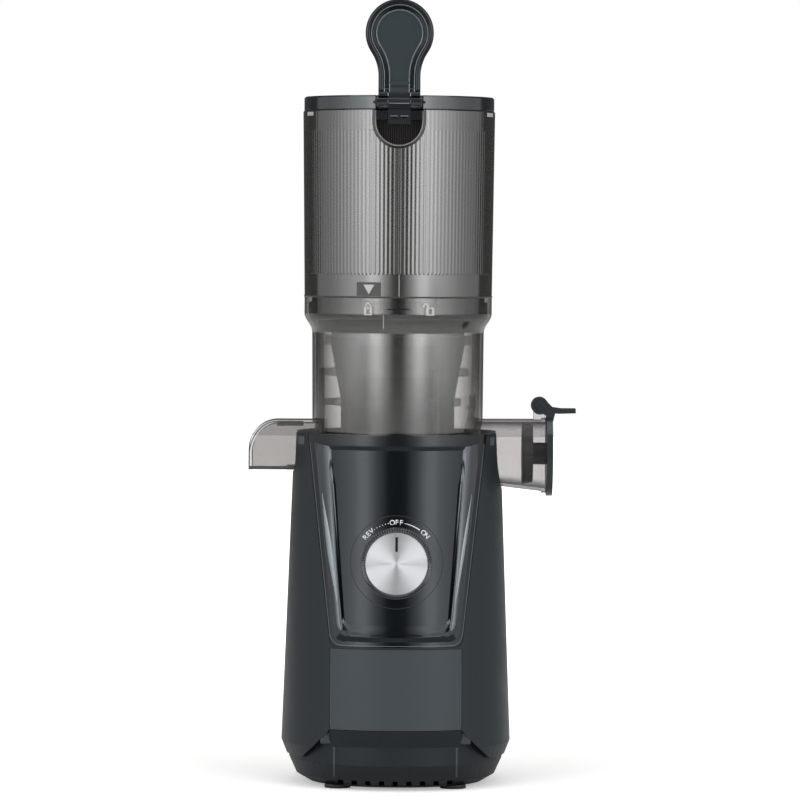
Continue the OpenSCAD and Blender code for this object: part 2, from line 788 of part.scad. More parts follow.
cage_ring_r = pitch_r(ring_n) + dedendum + 2.6;
cage_top = sieve_top - 4;
// Inner radius of the brush cage at a height, clear of the strainer.
function sieve_out(z) = z < sieve_knee ? sieve_r + sieve_wall
    : sieve_r + sieve_wall + (sieve_top_r - sieve_r) * (z - sieve_knee) / (sieve_top - sieve_knee);
function cage_in(z) = sieve_out(z) + 0.9;
module cage_ring(z, h, out)
    rotate_extrude()
        polygon([[cage_in(z), z], [out, z], [out, z + h], [cage_in(z + h), z + h]]);

gear_top = gear_z + gear_w;
cage_foot = gear_top + gap + 4;
hoop_h = 5;         // height of the cage's lower hoops
hoop_mid_z = sieve_knee + 17;
hoop_low_r = cage_in(0) + cage_wall + 2;
hoop_mid_r = cage_in(hoop_mid_z) + 7.5;
hoop_top_r = cage_in(cage_top) + 3.8;
module cage_gear() color("#6d6c6a") {
    translate([0, 0, gear_z]) linear_extrude(gear_w + 1.5) difference() {
        circle(cage_ring_r);
        rotate(idler_at + 180 / ring_n)
            polygon(gear_points(ring_n, pitch_r(ring_n) - addendum, pitch_r(ring_n) + dedendum, -0.2));
    }
    cage_ring(gear_top + gap, cage_foot - gear_top - gap, cage_ring_r - 1.2);
}

module brush_cage() color("#6d6c6a") {
    cage_ring(sieve_knee - 4, hoop_h, hoop_low_r);
    cage_ring(hoop_mid_z, hoop_h, hoop_mid_r);
    cage_ring(cage_top - hoop_h - 1, hoop_h + 1, hoop_top_r);
    inner = cage_in(0) + 0.4;
    outer = cage_in(0) + cage_wall;
    for (a = [45:90:315])
        rotate(a - 11) rotate_extrude(angle = 22)
            polygon([[inner, cage_foot], [outer, cage_foot], [outer, sieve_knee],
                     [cage_in(cage_top) + cage_wall, cage_top - 1],
                     [cage_in(cage_top) + 0.4, cage_top - 1], [inner, sieve_knee]]);
}

wiper_t = 1.8;
wiper_out = bowl_r - bowl_wall - 0.6;
wiper_in = wiper_out - 5;
// An arm of a wiper, from a hoop of the cage to the blade.
module wiper_arm(from, z, h)
    translate([from + eps, -wiper_t / 2, z]) cube([wiper_out - from, wiper_t, h]);

module wiper_blades() color("#9a3f30")
    for (a = [60, 180, 300])
        rotate(a) intersection() {
            cylinder(h = cut, r = wiper_out);
            union() {
                wiper_arm(cage_ring_r, gear_z + 1, 9);
                wiper_arm(hoop_low_r, sieve_knee - 4, hoop_h);
                wiper_arm(hoop_mid_r, hoop_mid_z, hoop_h);
                wiper_arm(wiper_in, gear_z + 1, hoop_mid_z + hoop_h - gear_z - 1);
            }
        }

auger_z = sieve_z + 2.6 + 0.4;
auger_top = seam_z - 24.2;
blade_r = sieve_r - 0.5;
module screw_shape(core, reach, count, blade) {
    circle(core, $fn = 20);
    intersection() {
        circle(reach, $fn = 40);
        for (i = [0:count - 1])
            rotate(i * 360 / count) translate([0, -blade / 2]) square([reach + 5, blade]);
    }
}

module auger() color("#3b3d3f")
    difference() {
        knee = sieve_knee;
        union() {
            translate([0, 0, bowl_z + 2.4]) cylinder(h = gear_z - bowl_z - 2.4 + eps, r = hub_r - run);
            translate([0, 0, gear_z]) linear_extrude(gear_w + 2 * gap) rotate(idler_at) gear(sun_n);
            translate([0, 0, gear_z + gear_w + gap]) cylinder(h = auger_z - gear_z - gear_w, r = 12.2);
            translate([0, 0, auger_z]) cylinder(h = 2, r = blade_r + 0.2);
            translate([0, 0, auger_z + 1])
                linear_extrude(knee - auger_z - 1, twist = -240, slices = 18, $fn = 20)
                    screw_shape(25, blade_r, 2, 6);
            translate([0, 0, knee - 1])
                linear_extrude(auger_top - knee + 1, twist = -210, slices = 16, scale = 1.18, $fn = 20)
                    screw_shape(17, blade_r - 0.4, 2, 6);
            translate([0, 0, auger_top - 1]) cylinder(h = 10, r = 4);
        }
        translate([0, 0, bowl_z]) cylinder(h = bush_top - bowl_z, r = bush_r);
    }

bush_r = hub_r - 1;
bush_top = shaft_top + hex_h + 1;
module auger_bush() color("#b9bcbe")
    translate([0, 0, bowl_z + 2.4]) difference() {
        cylinder(h = bush_top - bowl_z - 2.4 - eps, r = bush_r - eps);
        translate([0, 0, -1])
            cylinder(h = shaft_top + hex_h + 0.5 - bowl_z - 2.4 + 1, r = hex_r + 0.2, $fn = 6);
    }

// ---------- the juice stopper ----------
plate_x = mouth_x + 0.4;
module stopper_lever() color("#404342") {
    difference() {
        union() {
            translate([plate_x, 0, spout_mid_z]) rotate([0, 90, 0]) cylinder(h = cap_t, r = cap_r);
            for (s = [-1, 1])
                front_run(s > 0 ? ear_w + gap : -ear_w - gap - 4.4,
                    s > 0 ? ear_w + gap + 4.4 : -ear_w - gap) {
                    translate([cap_x, cap_z]) circle(6);
                    polygon([[cap_x + 2, cap_z - 5.4], [plate_x, cap_z - 7], [plate_x, cap_z - 12],
                             [plate_x + cap_t, cap_z - 12],
                             [plate_x + cap_t + 2, cap_z - 4], [cap_x + 9, cap_z - 1],
                             [cap_x + 3, cap_z + 5]]);
                }
            front_run(-ear_w - gap - 4.4, ear_w + gap + 4.4)
                polygon([[cap_x + 7, cap_z - 4.8], [cap_x + 13, cap_z - 5.4],
                         [cap_x + thumb_len, cap_z - 5],
                         [cap_x + thumb_len, cap_z - 2], [cap_x + 15, cap_z - 2], [cap_x + 8, cap_z - 1]]);
            translate([plate_x - 12, 0, plug_z]) rotate([0, 90, 0]) cylinder(h = 12 + eps, r = 4, $fn = 48);
        }
        along_y(-20, cap_z, cap_x) cylinder(h = 40, r = pin_r + run, $fn = 36);
    }
}

plug_z = spout_mid_z + 1.1;
module plug_seal() color("#2e2b2c")
    translate([plate_x, 0, plug_z]) rotate([0, -90, 0]) difference() {
        union() {
            translate([0, 0, eps]) cylinder(h = 9.4, r = 7.7, $fn = 64);
            translate([0, 0, 9.3]) cylinder(h = 7.4, r1 = plug_r - 1.4, r2 = plug_r);
        }
        translate([0, 0, -1]) cylinder(h = 13.2, r = 4 + eps, $fn = 48);
    }

module stopper_pin() color("#c3c6c8")
    along_y(-ear_w - gap - 4.2, cap_z, cap_x) cylinder(h = 2 * (ear_w + gap + 4.2), r = pin_r, $fn = 36);

// ---------- the hopper ----------
inner_rim_r = rim_r - hopper_wall;
inner_low_r = collar_r - hopper_wall;
skirt_z0 = seam_z - 14.6;
recess_depth = 9.4;
pocket_y = recess_depth - rim_r;
module recess_outline(grow) {
    mid = rim_z - recess_h + recess_w;
    translate([0, mid]) circle(recess_w + grow);
    translate([-recess_w - grow, mid]) square([2 * (recess_w + grow), rim_z - mid]);
}

recess_wall = 1.8;
module hopper() color("#6b6866", 0.6)
    difference() {
        rotate_extrude()
            polygon([[skirt_r + eps, seam_z], [collar_r, seam_z], [rim_r, rim_z - 0.6],
                     [rim_r - 0.6, rim_z], [inner_rim_r, rim_z], [inner_low_r, seam_z + 3],
                     [skirt_r + eps, seam_z + 1.6]]);
        front_run(-cut, pocket_y + recess_wall) recess_outline(recess_wall + eps);
    }

// The skirt goes inside the bowl's collar and carries the bayonet's lugs.
module hopper_skirt() color("#6b6866", 0.6) {
    rotate_extrude()
        polygon([[skirt_r - 2.4, skirt_z0], [skirt_r, skirt_z0], [skirt_r, seam_z + 1.6],
                 [skirt_r - 2.4, seam_z + 0.4]]);
    for (i = [0:lug_count - 1])
        rotate(i * 360 / lug_count - 15 + 45 - twist)
            rotate_extrude(angle = 30) translate([skirt_r - 0.2, seam_z - gap - lip_h - gap - 3.6])
                square([groove_r - gap - skirt_r + 0.2, 3.6]);
}

// The finger recess, and the ledge in it that the latch hooks under.
module finger_recess() color("#6b6866", 0.6) {
    intersection() {
        difference() {
            front_run(-cut, pocket_y + recess_wall) recess_outline(recess_wall);
            front_run(-cut, pocket_y) recess_outline(0);
        }
        translate([0, 0, seam_z]) cylinder(h = rim_z - seam_z, r1 = collar_r - 0.3, r2 = rim_r - 0.3);
    }
    translate([-9, pocket_y - 5.4, latch_z]) cube([18, 5.5, 2]);
}

// Fine upright ribs line the hopper's inner wall, so that wet produce slides down.
flute_low = seam_z + 15;
flute_high = rim_z - 5;
function hopper_in(z) = inner_low_r + (inner_rim_r - inner_low_r) * (z - seam_z - 3) / (rim_z - seam_z - 3);
module fluted_wall() color("#6b6866", 0.6) {
    root_r = hopper_in(flute_low) - 0.5;
    difference() {
        translate([0, 0, flute_low])
            cylinder(h = flute_high - flute_low, r1 = hopper_in(flute_low) - eps,
                     r2 = hopper_in(flute_high) - eps, $fn = 2 * rib_count);
        translate([0, 0, flute_low - 1]) linear_extrude(flute_high - flute_low + 2)
            polygon([for (i = [0:2 * rib_count - 1])
                let (a = 180 * i / rib_count, r = root_r - (i % 2) * rib_h) [r * cos(a), r * sin(a)]]);
        front_run(-cut, pocket_y + recess_wall + seat) recess_outline(recess_wall + seat);
    }
}

ear_out = 14.2;     // outer side of the hinge's ears
ear_in = 8.2;       // inner side, beside the lid's knuckle
module hinge_bracket() color("#2a2e30")
    difference() {
        intersection() {
            union() {
                for (x = [-ear_out, ear_in])
                    translate([x, 0, 0]) rotate([90, 0, 90]) linear_extrude(ear_out - ear_in) {
                        translate([hinge_y, hinge_z]) circle(4);
                        polygon([[rim_r - 6, rim_z - 20], [rim_r + 2.5, rim_z - 15],
                                 [hinge_y - 1, hinge_z - 8],
                                 [hinge_y + 4, hinge_z], [hinge_y - 4, hinge_z], [hinge_y - 5.2, rim_z],
                                 [rim_r - 6, rim_z]]);
                    }
                // plate between the ears
                translate([-ear_in - 1, rim_r - 6, rim_z - 19]) cube([2 * ear_in + 2, 7.6, 10]);
            }
            translate([-cut / 2, 0, 0]) cube(2 * cut);
        }
        translate([0, 0, seam_z])
            cylinder(h = rim_z - 0.6 - seam_z, r1 = collar_r + seat, r2 = rim_r + seat);
        translate([0, 0, rim_z - 0.6 - eps]) cylinder(h = 2, r = rim_r + seat);
        translate([0, hinge_y, hinge_z]) rotate([0, 90, 0])
            cylinder(h = 60, r = pin_r + eps, center = true, $fn = 36);
    }

latch_z = lever_z - 12.2;
floor_dip = seam_z - 21.4;
// Height of the dished floor at a radius.
function floor_at(r) = floor_dip + 7.5 * pow(r / 58, 2);
floor_steps = 8;
module hopper_floor() color("#6b6866", 0.6)
    difference() {
        r1 = skirt_r - 2.4 - eps;
        union() {
            rotate_extrude()
                polygon(concat(
                    [for (i = [0:floor_steps]) let (r = r1 * i / floor_steps) [r, floor_at(r)]],
                    [for (i = [floor_steps:-1:0]) let (r = r1 * i / floor_steps) [r, floor_at(r) + 2]]));
            translate([0, 0, floor_dip]) cylinder(h = 10, r = 9);
        }
        translate([0, 0, floor_dip - 1]) cylinder(h = 20, r = 4 + run);
        difference() {
            translate([0, 0, floor_dip - 5]) cylinder(h = 40, r = feed_r);
            translate([0, 0, floor_dip - 6]) cylinder(h = 50, r = 15);
            translate([-cut / 2, 6, 0]) cube(cut);
        }
    }

module hopper_seal() color("#8e3b2e")
    ring(skirt_z0 - 1.2, 1.2 - eps, skirt_r - 2.4, skirt_r - 0.4);

module lid_hinge_pin() color("#c3c6c8")
    translate([0, hinge_y, hinge_z]) rotate([0, 90, 0])
        cylinder(h = 28, r = pin_r, center = true, $fn = 36);

// ---------- the lid ----------
notch_w = neck_w + 1.8;
module lid() color("#2a2e30")
    difference() {
        union() {
            difference() {
                rotate_extrude()
                    polygon([[0, lid_top - lid_t - 1], [lid_r - 3.2, lid_top - lid_t - 1],
                             [lid_r - 3.2, lid_z],
                             [lid_r, lid_z], [lid_r, lid_top - 1], [lid_r - 1, lid_top],
                             [lid_r - 6, lid_top],
                             [lid_r - 9, lid_top - 1], [0, lid_top - 1]]);
                translate([-notch_w, -cut, lid_z - 1]) cube([2 * notch_w, cut - lever_y + 7, 40]);
            }
            // ears of the lever
            for (s = [-1, 1])
                translate([s * (tongue_w + gap + 3.9), 0, 0]) rotate([90, 0, 90])
                    linear_extrude(7.8, center = true) {
                    translate([-lever_y, lever_z]) circle(4.3);
                    translate([-lever_y, lever_z - 2.5]) square([9, 6.4]);
                }
            // knuckle of the rear hinge
            rotate([90, 0, 90]) linear_extrude(15.4, center = true) {
                translate([hinge_y, hinge_z]) circle(4);
                translate([lid_r - 3.1, hinge_z - 2]) square([hinge_y - lid_r + 3.1, 6]);
            }
        }
        translate([0, -lever_y, lever_z]) rotate([0, 90, 0])
            cylinder(h = 60, r = pin_r + eps, center = true, $fn = 36);
        translate([0, hinge_y, hinge_z]) rotate([0, 90, 0])
            cylinder(h = 60, r = pin_r + run, center = true, $fn = 36);
    }

module lid_seal() color("#1c1d1e")
    difference() {
        ring(lid_z + 0.2, lid_top - lid_t - 1 - lid_z - 0.2 - eps, lid_r - 7, lid_r - 3.2 - eps);
        translate([-notch_w - gap, -cut, 0]) cube([2 * (notch_w + gap), cut - lever_y + 9 + gap, 2 * cut]);
    }

module lever_pin() color("#c3c6c8")
    translate([0, -lever_y, lever_z]) rotate([0, 90, 0])
        cylinder(h = 2 * (tongue_w + gap + 7.8), r = pin_r, center = true, $fn = 36);

module latch_spring() color("#9a9da0")
    for (s = [-1, 1])
        translate([s * (tongue_w - 1.8), -lever_y, lever_z]) rotate([0, 90, 0]) difference() {
            cylinder(h = 2, r = 3.4, center = true, $fn = 36);
            cylinder(h = 3, r = pin_r + 0.6, center = true, $fn = 36);
        }

module lever_outline(inset) {
    fillet = 30;
    offset(-inset) offset(-fillet) offset(fillet) {
        translate([0, lever_rise]) circle(lever_r, $fn = 72);
        translate([-neck_w, 6.4]) square([2 * neck_w, lever_rise - 6.4]);
    }
}

rim_w = 3.2;
module latch_lever() color("#373c3f")
    translate([0, -lever_y, lever_z]) difference() {
        front = -lever_t / 2;
        union() {
            front_run(front, -front) lever_outline(0);
            // tongue between the ears, and the hook
            front_run(-2.4, 2.4) translate([-tongue_w, -9]) square([2 * tongue_w, 17]);
            rotate([0, 90, 0]) cylinder(h = 2 * tongue_w, r = 4.3, center = true);
            front_run(-2.4, 1) translate([-tongue_w, -14.6]) square([2 * tongue_w, 8]);
            front_run(-2.4, 4.2) translate([-tongue_w, -15]) square([2 * tongue_w, 2.4]);
        }
        // recessed centre and the groove round it
        front_run(-cut, front + 1.4) lever_outline(7.4);
        front_run(-cut, front + 0.9) difference() {
            lever_outline(rim_w);
            lever_outline(rim_w + 1.8);
        }
        rotate([0, 90, 0]) cylinder(h = 60, r = pin_r + run, center = true, $fn = 36);
        for (s = [-1, 1])
            translate([s * (tongue_w - 1.8), 0, 0]) rotate([0, 90, 0])
                cylinder(h = 2.6, r = 3.6, center = true, $fn = 36);
        // two slots above the hook
        for (s = [-1, 1])
            front_run(-cut, cut) translate([s * 3.4 - 2, -10.8]) square([4, 2]);
    }

housing_shell();
front_panel();
front_plate();
top_deck();
bowl_well();
bottom_cover();
rubber_feet();
case_screws();
motor();
motor_dampers();
gearbox();
gearbox_screws();
shaft_bearing();
shaft_seal();
rotary_switch();
switch_nut();
control_board();
board_parts();
safety_switch();
cord_inlet();
drive_shaft();
knob_body();
knob_face();
switch_shaft();
bowl();
pulp_chute();
juice_spout();
bowl_seal();
strainer();
idler_pin();
stopper_pin();
idler_gear();
cage_gear();
brush_cage();
wiper_blades();
auger();
auger_bush();
stopper_lever();
plug_seal();
hopper();
hopper_skirt();
finger_recess();
fluted_wall();
hopper_floor();
hopper_seal();
hinge_bracket();
lid_hinge_pin();
lid();
lid_seal();
lever_pin();
latch_spring();
latch_lever();
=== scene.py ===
# %% [markdown]
# # A cold press juicer, dressed in Blender
# The solids of the machine come from its CAD model. Here they get their real finishes, the small
# printed and moulded pieces that CAD leaves out, pale and dark pieces of painted highlight and
# shade, a studio to stand in and a camera.
# Everything is in metres, and +Z is up, as in the CAD model.

# %% The frame and its tools
import math
import bmesh
import bpy
from mathutils import Matrix, Vector
from mathutils.bvhtree import BVHTree


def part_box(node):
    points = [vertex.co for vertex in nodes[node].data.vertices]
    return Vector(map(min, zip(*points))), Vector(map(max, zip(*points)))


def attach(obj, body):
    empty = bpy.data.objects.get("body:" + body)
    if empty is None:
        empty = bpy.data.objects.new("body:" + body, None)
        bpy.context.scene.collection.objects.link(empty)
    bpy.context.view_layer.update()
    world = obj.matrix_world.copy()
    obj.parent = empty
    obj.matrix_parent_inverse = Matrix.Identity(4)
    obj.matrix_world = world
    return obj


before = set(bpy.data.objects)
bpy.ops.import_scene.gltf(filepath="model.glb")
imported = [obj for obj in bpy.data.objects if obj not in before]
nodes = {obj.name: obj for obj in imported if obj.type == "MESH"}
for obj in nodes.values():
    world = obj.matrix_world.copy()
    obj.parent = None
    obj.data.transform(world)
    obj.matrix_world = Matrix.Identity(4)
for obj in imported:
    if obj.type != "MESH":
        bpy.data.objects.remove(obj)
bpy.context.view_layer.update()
MM = 0.001

# %% [markdown]
# ## Camera
# A long lens from far away keeps the tall body almost free of perspective, as in a catalogue
# picture. 225 mm on a 36 mm sensor sees 560 mm at 3.5 m. A camera that stands a little above the
# middle and looks slightly down shows the front of the foot and a thin line of the lid.

# %% Camera
aim = Vector((1.7 * MM, 0, 267 * MM))
distance, pitch, roll = 3.5, math.radians(1.89), math.radians(0.35)
lens = bpy.data.cameras.new("camera")
lens.lens, lens.sensor_width = 225, 36
camera = bpy.data.objects.new("camera", lens)
bpy.context.scene.collection.objects.link(camera)
camera.location = aim + distance * Vector((0, -math.cos(pitch), math.sin(pitch)))
camera.rotation_euler = ((aim - camera.location).to_track_quat("-Z", "Y").to_matrix()
                         @ Matrix.Rotation(roll, 3, "Z")).to_euler()
bpy.context.scene.camera = camera
bpy.context.scene.view_settings.view_transform = "Standard"
print("camera at", tuple(round(v, 3) for v in camera.location))

# %% [markdown]
# ## Colours and nodes
# Screen colours are sRGB, and Blender's sockets are linear, so one function turns one into the
# other. Another small function adds a node: it sets its properties, then links or fills its
# sockets. Every finish below is built with these two. A formula, such as the angle round an axis,
# is a chain of Math nodes, one to each step.

# %% Helpers for finishes
def srgb(code):
    """The linear colour, with an alpha of 1, of an sRGB hex value."""
    channels = [int(code[i:i + 2], 16) / 255 for i in (1, 3, 5)]
    linear = [c / 12.92 if c <= 0.04045 else ((c + 0.055) / 1.055) ** 2.4 for c in channels]
    return (*linear, 1.0)


def add(tree, kind, sockets=(), **settings):
    """Adds a shader node. Its sockets are filled by name from a dict, or in order from a tuple.

    A value may be a plain value, another node's socket, or a node, whose first output in use
    is then linked."""
    node = tree.nodes.new("ShaderNode" + kind)
    for name, value in settings.items():
        setattr(node, name, value)
    for name, value in sockets.items() if isinstance(sockets, dict) else enumerate(sockets):
        if isinstance(value, bpy.types.Node):
            value = next(output for output in value.outputs if output.enabled)
        if isinstance(value, bpy.types.NodeSocket):
            tree.links.new(value, node.inputs[name])
        else:
            node.inputs[name].default_value = value
    return node


def start_finish(name, **sockets):
    """A material with one Principled shader, whose constant values are set on its own sockets."""
    finish = bpy.data.materials.new(name)
    finish.use_nodes = True
    shader = finish.node_tree.nodes["Principled BSDF"]
    for socket, value in sockets.items():
        shader.inputs[socket.replace("_", " ")].default_value = value
    return finish, finish.node_tree, shader


# %% [markdown]
# ## Studio
# The machine stands on a pale sheet. White diffusers curve round it from the front to a little
# behind its sides, with a dark gap where the camera looks in, and black flags close the rear.
# A round glossy part therefore shows a dark middle, a bright band on each side of it, a slow fall
# towards the sides and a crisp dark edge. All this only depends on the direction round the machine,
# so the world's light is a ramp over that angle.

# %% Floor
FIBRE_MM = 2.5                                     # real fibres are finer, and wouldn't show
GLOW_NEAR, GLOW_FAR, NEAR_GLOW = 0.25, 1.3, 0.4    # the sheet burns out to white with distance
paper, tree, shader = start_finish("matt_white_paper", Roughness=0.9, Specular_IOR_Level=0.2)
coords = add(tree, "TexCoord")
fibre = add(tree, "TexNoise", {"Vector": coords.outputs["Object"], "Scale": 1 / (FIBRE_MM * MM),
                               "Detail": 3.0})
tone = add(tree, "Mix", {"Factor": fibre.outputs["Fac"], "A": srgb("#f6f6f5"),
                         "B": srgb("#fbfbfa")}, data_type="RGBA")
tree.links.new(tone.outputs["Result"], shader.inputs["Base Color"])
seen = add(tree, "LightPath")
away = add(tree, "VectorMath", (coords.outputs["Object"],), operation="LENGTH")
fade = add(tree, "MapRange", {"Value": away.outputs["Value"], "From Min": GLOW_NEAR,
                              "From Max": GLOW_FAR, "To Min": NEAR_GLOW, "To Max": 1.0},
           interpolation_type="SMOOTHSTEP")
lift = add(tree, "Math", (seen.outputs["Is Camera Ray"], fade), operation="MULTIPLY")
shader.inputs["Emission Color"].default_value = (1, 1, 1, 1)
tree.links.new(lift.outputs["Value"], shader.inputs["Emission Strength"])
sheet = bmesh.new()
bmesh.ops.create_grid(sheet, x_segments=1, y_segments=1, size=6)
floor_mesh = bpy.data.meshes.new("floor")
sheet.to_mesh(floor_mesh)
floor = bpy.data.objects.new("floor", floor_mesh)
floor_mesh.materials.append(paper)
bpy.context.scene.collection.objects.link(floor)
print("floor of", [round(v, 1) for v in floor.dimensions], "m")

# %% Diffusers round the machine
# degrees away from the camera's side, brightness
DIFFUSERS = ((0, 0.03), (6, 0.05), (17, 0.42), (27, 0.95), (34, 1.0), (42, 0.72), (54, 0.55),
             (66, 0.42), (80, 0.28), (95, 0.2), (116, 0.16), (119, 0.02), (180, 0.02))
MIRRORED, SCATTERED = 4.6, 2.7    # brightest radiance that glossy rays and all other rays meet
DIM_FROM, DIM_TO, DIM_SHARE = 0.55, 0.95, 0.35    # sines of the heights where the light falls off
world = bpy.data.worlds.new("studio")
bpy.context.scene.world = world
world.use_nodes = True
tree = world.node_tree
background = tree.nodes["Background"]
x, y, z = add(tree, "SeparateXYZ", {
    "Vector": add(tree, "TexCoord").outputs["Generated"]}).outputs
sideways = add(tree, "Math", (x,), operation="ABSOLUTE")
forwards = add(tree, "Math", (y, -1.0), operation="MULTIPLY")
turned = add(tree, "Math", (sideways, forwards), operation="ARCTAN2")
ramp = add(tree, "ValToRGB", {"Fac": add(tree, "Math", (turned, math.pi), operation="DIVIDE")})
stops = ramp.color_ramp.elements
while len(stops) < len(DIFFUSERS):
    stops.new(1.0)
for stop, (degrees, bright) in zip(stops, DIFFUSERS):
    stop.position, stop.color = degrees / 180, (bright, bright, bright, 1)
height = add(tree, "MapRange", {"Value": z, "From Min": DIM_FROM, "From Max": DIM_TO, "To Min": 1.0,
                                "To Max": DIM_SHARE}, interpolation_type="SMOOTHSTEP")
path = add(tree, "LightPath").outputs
power = add(tree, "Mix", {"Factor": path["Is Glossy Ray"], "A": SCATTERED, "B": MIRRORED})
lit = add(tree, "Math", (ramp.outputs["Color"], height), operation="MULTIPLY")
room = add(tree, "Math", (lit, power), operation="MULTIPLY")
direct = add(tree, "Math", (path["Is Camera Ray"], path["Is Transmission Ray"]),
             operation="MAXIMUM")
level = add(tree, "Mix", {"Factor": direct, "A": room, "B": 1.0})
tree.links.new(level.outputs["Result"], background.inputs["Strength"])
background.inputs["Color"].default_value = (1, 1, 1, 1)
print("diffusers reach from", DIFFUSERS[1][0], "to", DIFFUSERS[-2][0], "degrees")

# %% Overhead soft box
lamp = bpy.data.lights.new("top_box", "AREA")
lamp.shape, lamp.size, lamp.size_y, lamp.energy = "RECTANGLE", 1.6, 1.6, 14
top_box = bpy.data.objects.new("top_box", lamp)
top_box.location = (0, -0.1, 2.0)
top_box.visible_camera = False
bpy.context.scene.collection.objects.link(top_box)

# %% [markdown]
# ## Moulded plastic
# Most of the machine is injection-moulded ABS. The mould gives a satin part a fine grain and a
# glossy part a slight waviness, and every edge is rounded a little, which catches the light as a
# thin line. A Bevel node rounds the normals at the edges, a Noise texture gives the grain, and a
# broad noise varies the gloss, as handling does.

# %% Helper for smooth plans
PLAN_POWER = 2.2                        # the plans of base and foot are superellipses of this power
CURVE_FROM, CURVE_FULL = 0.972, 0.99    # cosines of 14 and 8 degrees
# half width and reach to the front and the rear, low down and high up, and the two heights, in mm
BASE_FORM = ((80, 84, 92), (72, 72, 76), 30, 245)
FOOT_FORM = ((74.5, 78.5, 86.5), (74.5, 78.5, 86.5), 0, 245)


def follow_plan(tree, place, normal, low, high, z_low, z_high):
    """Swaps the normals of the plan's flat facets for those of the smooth curve through them.

    low and high are the half width and the reach to the front and the rear, at two heights.
    A facet that leans more than 14 degrees from the curve, as at an edge, keeps its own normal."""
    x, y, z = add(tree, "SeparateXYZ", {"Vector": place}).outputs

    def at_height(i):
        ends = {"Value": z, "From Min": z_low * MM, "From Max": z_high * MM,
                "To Min": low[i] * MM, "To Max": high[i] * MM}
        return add(tree, "MapRange", ends, clamp=False).outputs["Result"]

    lean = [(low[i] - high[i]) / (z_high - z_low) for i in range(3)]
    behind = add(tree, "Math", (y, 0.0), operation="GREATER_THAN")
    reach = add(tree, "Mix", {"Factor": behind, "A": at_height(1), "B": at_height(2)})
    lean_y = add(tree, "Mix", {"Factor": behind, "A": lean[1], "B": lean[2]})
    parts, rise = [], []
    for across, half, slope in ((x, at_height(0), lean[0]), (y, reach, lean_y)):
        size = add(tree, "Math", (across,), operation="ABSOLUTE")
        share = add(tree, "Math", (size, half), operation="DIVIDE")
        power = add(tree, "Math", (share, PLAN_POWER - 1), operation="POWER")
        steep = add(tree, "Math", (power, half), operation="DIVIDE")
        sign = add(tree, "Math", (across,), operation="SIGN")
        parts.append(add(tree, "Math", (sign, steep), operation="MULTIPLY"))
        grown = add(tree, "Math", (steep, share), operation="MULTIPLY")
        rise.append(add(tree, "Math", (grown, slope), operation="MULTIPLY"))
    up = add(tree, "Math", rise, operation="ADD")
    outward = add(tree, "CombineXYZ", {"X": parts[0], "Y": parts[1], "Z": up})
    curve = add(tree, "VectorMath", (outward,), operation="NORMALIZE")
    facet = add(tree, "NewGeometry").outputs["True Normal"]
    match = add(tree, "VectorMath", (facet, curve), operation="DOT_PRODUCT").outputs["Value"]
    near = add(tree, "MapRange", {"Value": match, "From Min": CURVE_FROM, "From Max": CURVE_FULL},
               interpolation_type="SMOOTHSTEP")
    joined = add(tree, "Mix", {"Factor": near, "A": normal, "B": curve}, data_type="VECTOR")
    return joined.outputs["Result"]


# %% Helper for moulded surfaces
HANDLED_MM = 28    # size of the patches that handling leaves


def mould(tree, shader, colour, grain_mm, depth_mm, edge_mm, rough, patch=0.04, mottle=0.06,
          form=None):
    """Gives a shader a moulded skin; returns the nodes that some finishes build on."""
    place = add(tree, "TexCoord").outputs["Object"]
    grain = add(tree, "TexNoise", {"Vector": place, "Scale": 1 / (grain_mm * MM), "Detail": 2.0})
    edge = add(tree, "Bevel", {"Radius": edge_mm * MM}, samples=4)
    normal = edge.outputs["Normal"]
    if form:
        normal = follow_plan(tree, place, normal, *form)
    bump = add(tree, "Bump", {"Height": grain.outputs["Fac"], "Distance": depth_mm * MM,
                              "Normal": normal})
    tree.links.new(bump.outputs["Normal"], shader.inputs["Normal"])
    handled = add(tree, "TexNoise", {"Vector": place, "Scale": 1 / (HANDLED_MM * MM),
                                     "Detail": 4.0})
    gloss = add(tree, "MapRange", {"Value": handled.outputs["Fac"], "From Min": 0.3,
                                   "From Max": 0.7, "To Min": rough - patch,
                                   "To Max": rough + patch})
    tree.links.new(gloss.outputs["Result"], shader.inputs["Roughness"])
    base = srgb(colour)
    darker = tuple(c * (1 - mottle) for c in base[:3]) + (1,)
    lighter = tuple(min(c * (1 + mottle), 1) for c in base[:3]) + (1,)
    tone = add(tree, "Mix", {"Factor": grain.outputs["Fac"], "A": darker, "B": lighter},
               data_type="RGBA")
    tree.links.new(tone.outputs["Result"], shader.inputs["Base Color"])
    return place, bump, tone


def dress(finish, *names):
    """Puts a finish on CAD nodes."""
    for name in names:
        slots = nodes[name].data.materials
        for i in range(len(slots)):
            slots[i] = finish
        if not len(slots):
            slots.append(finish)
    print(finish.name, "on", ", ".join(names))


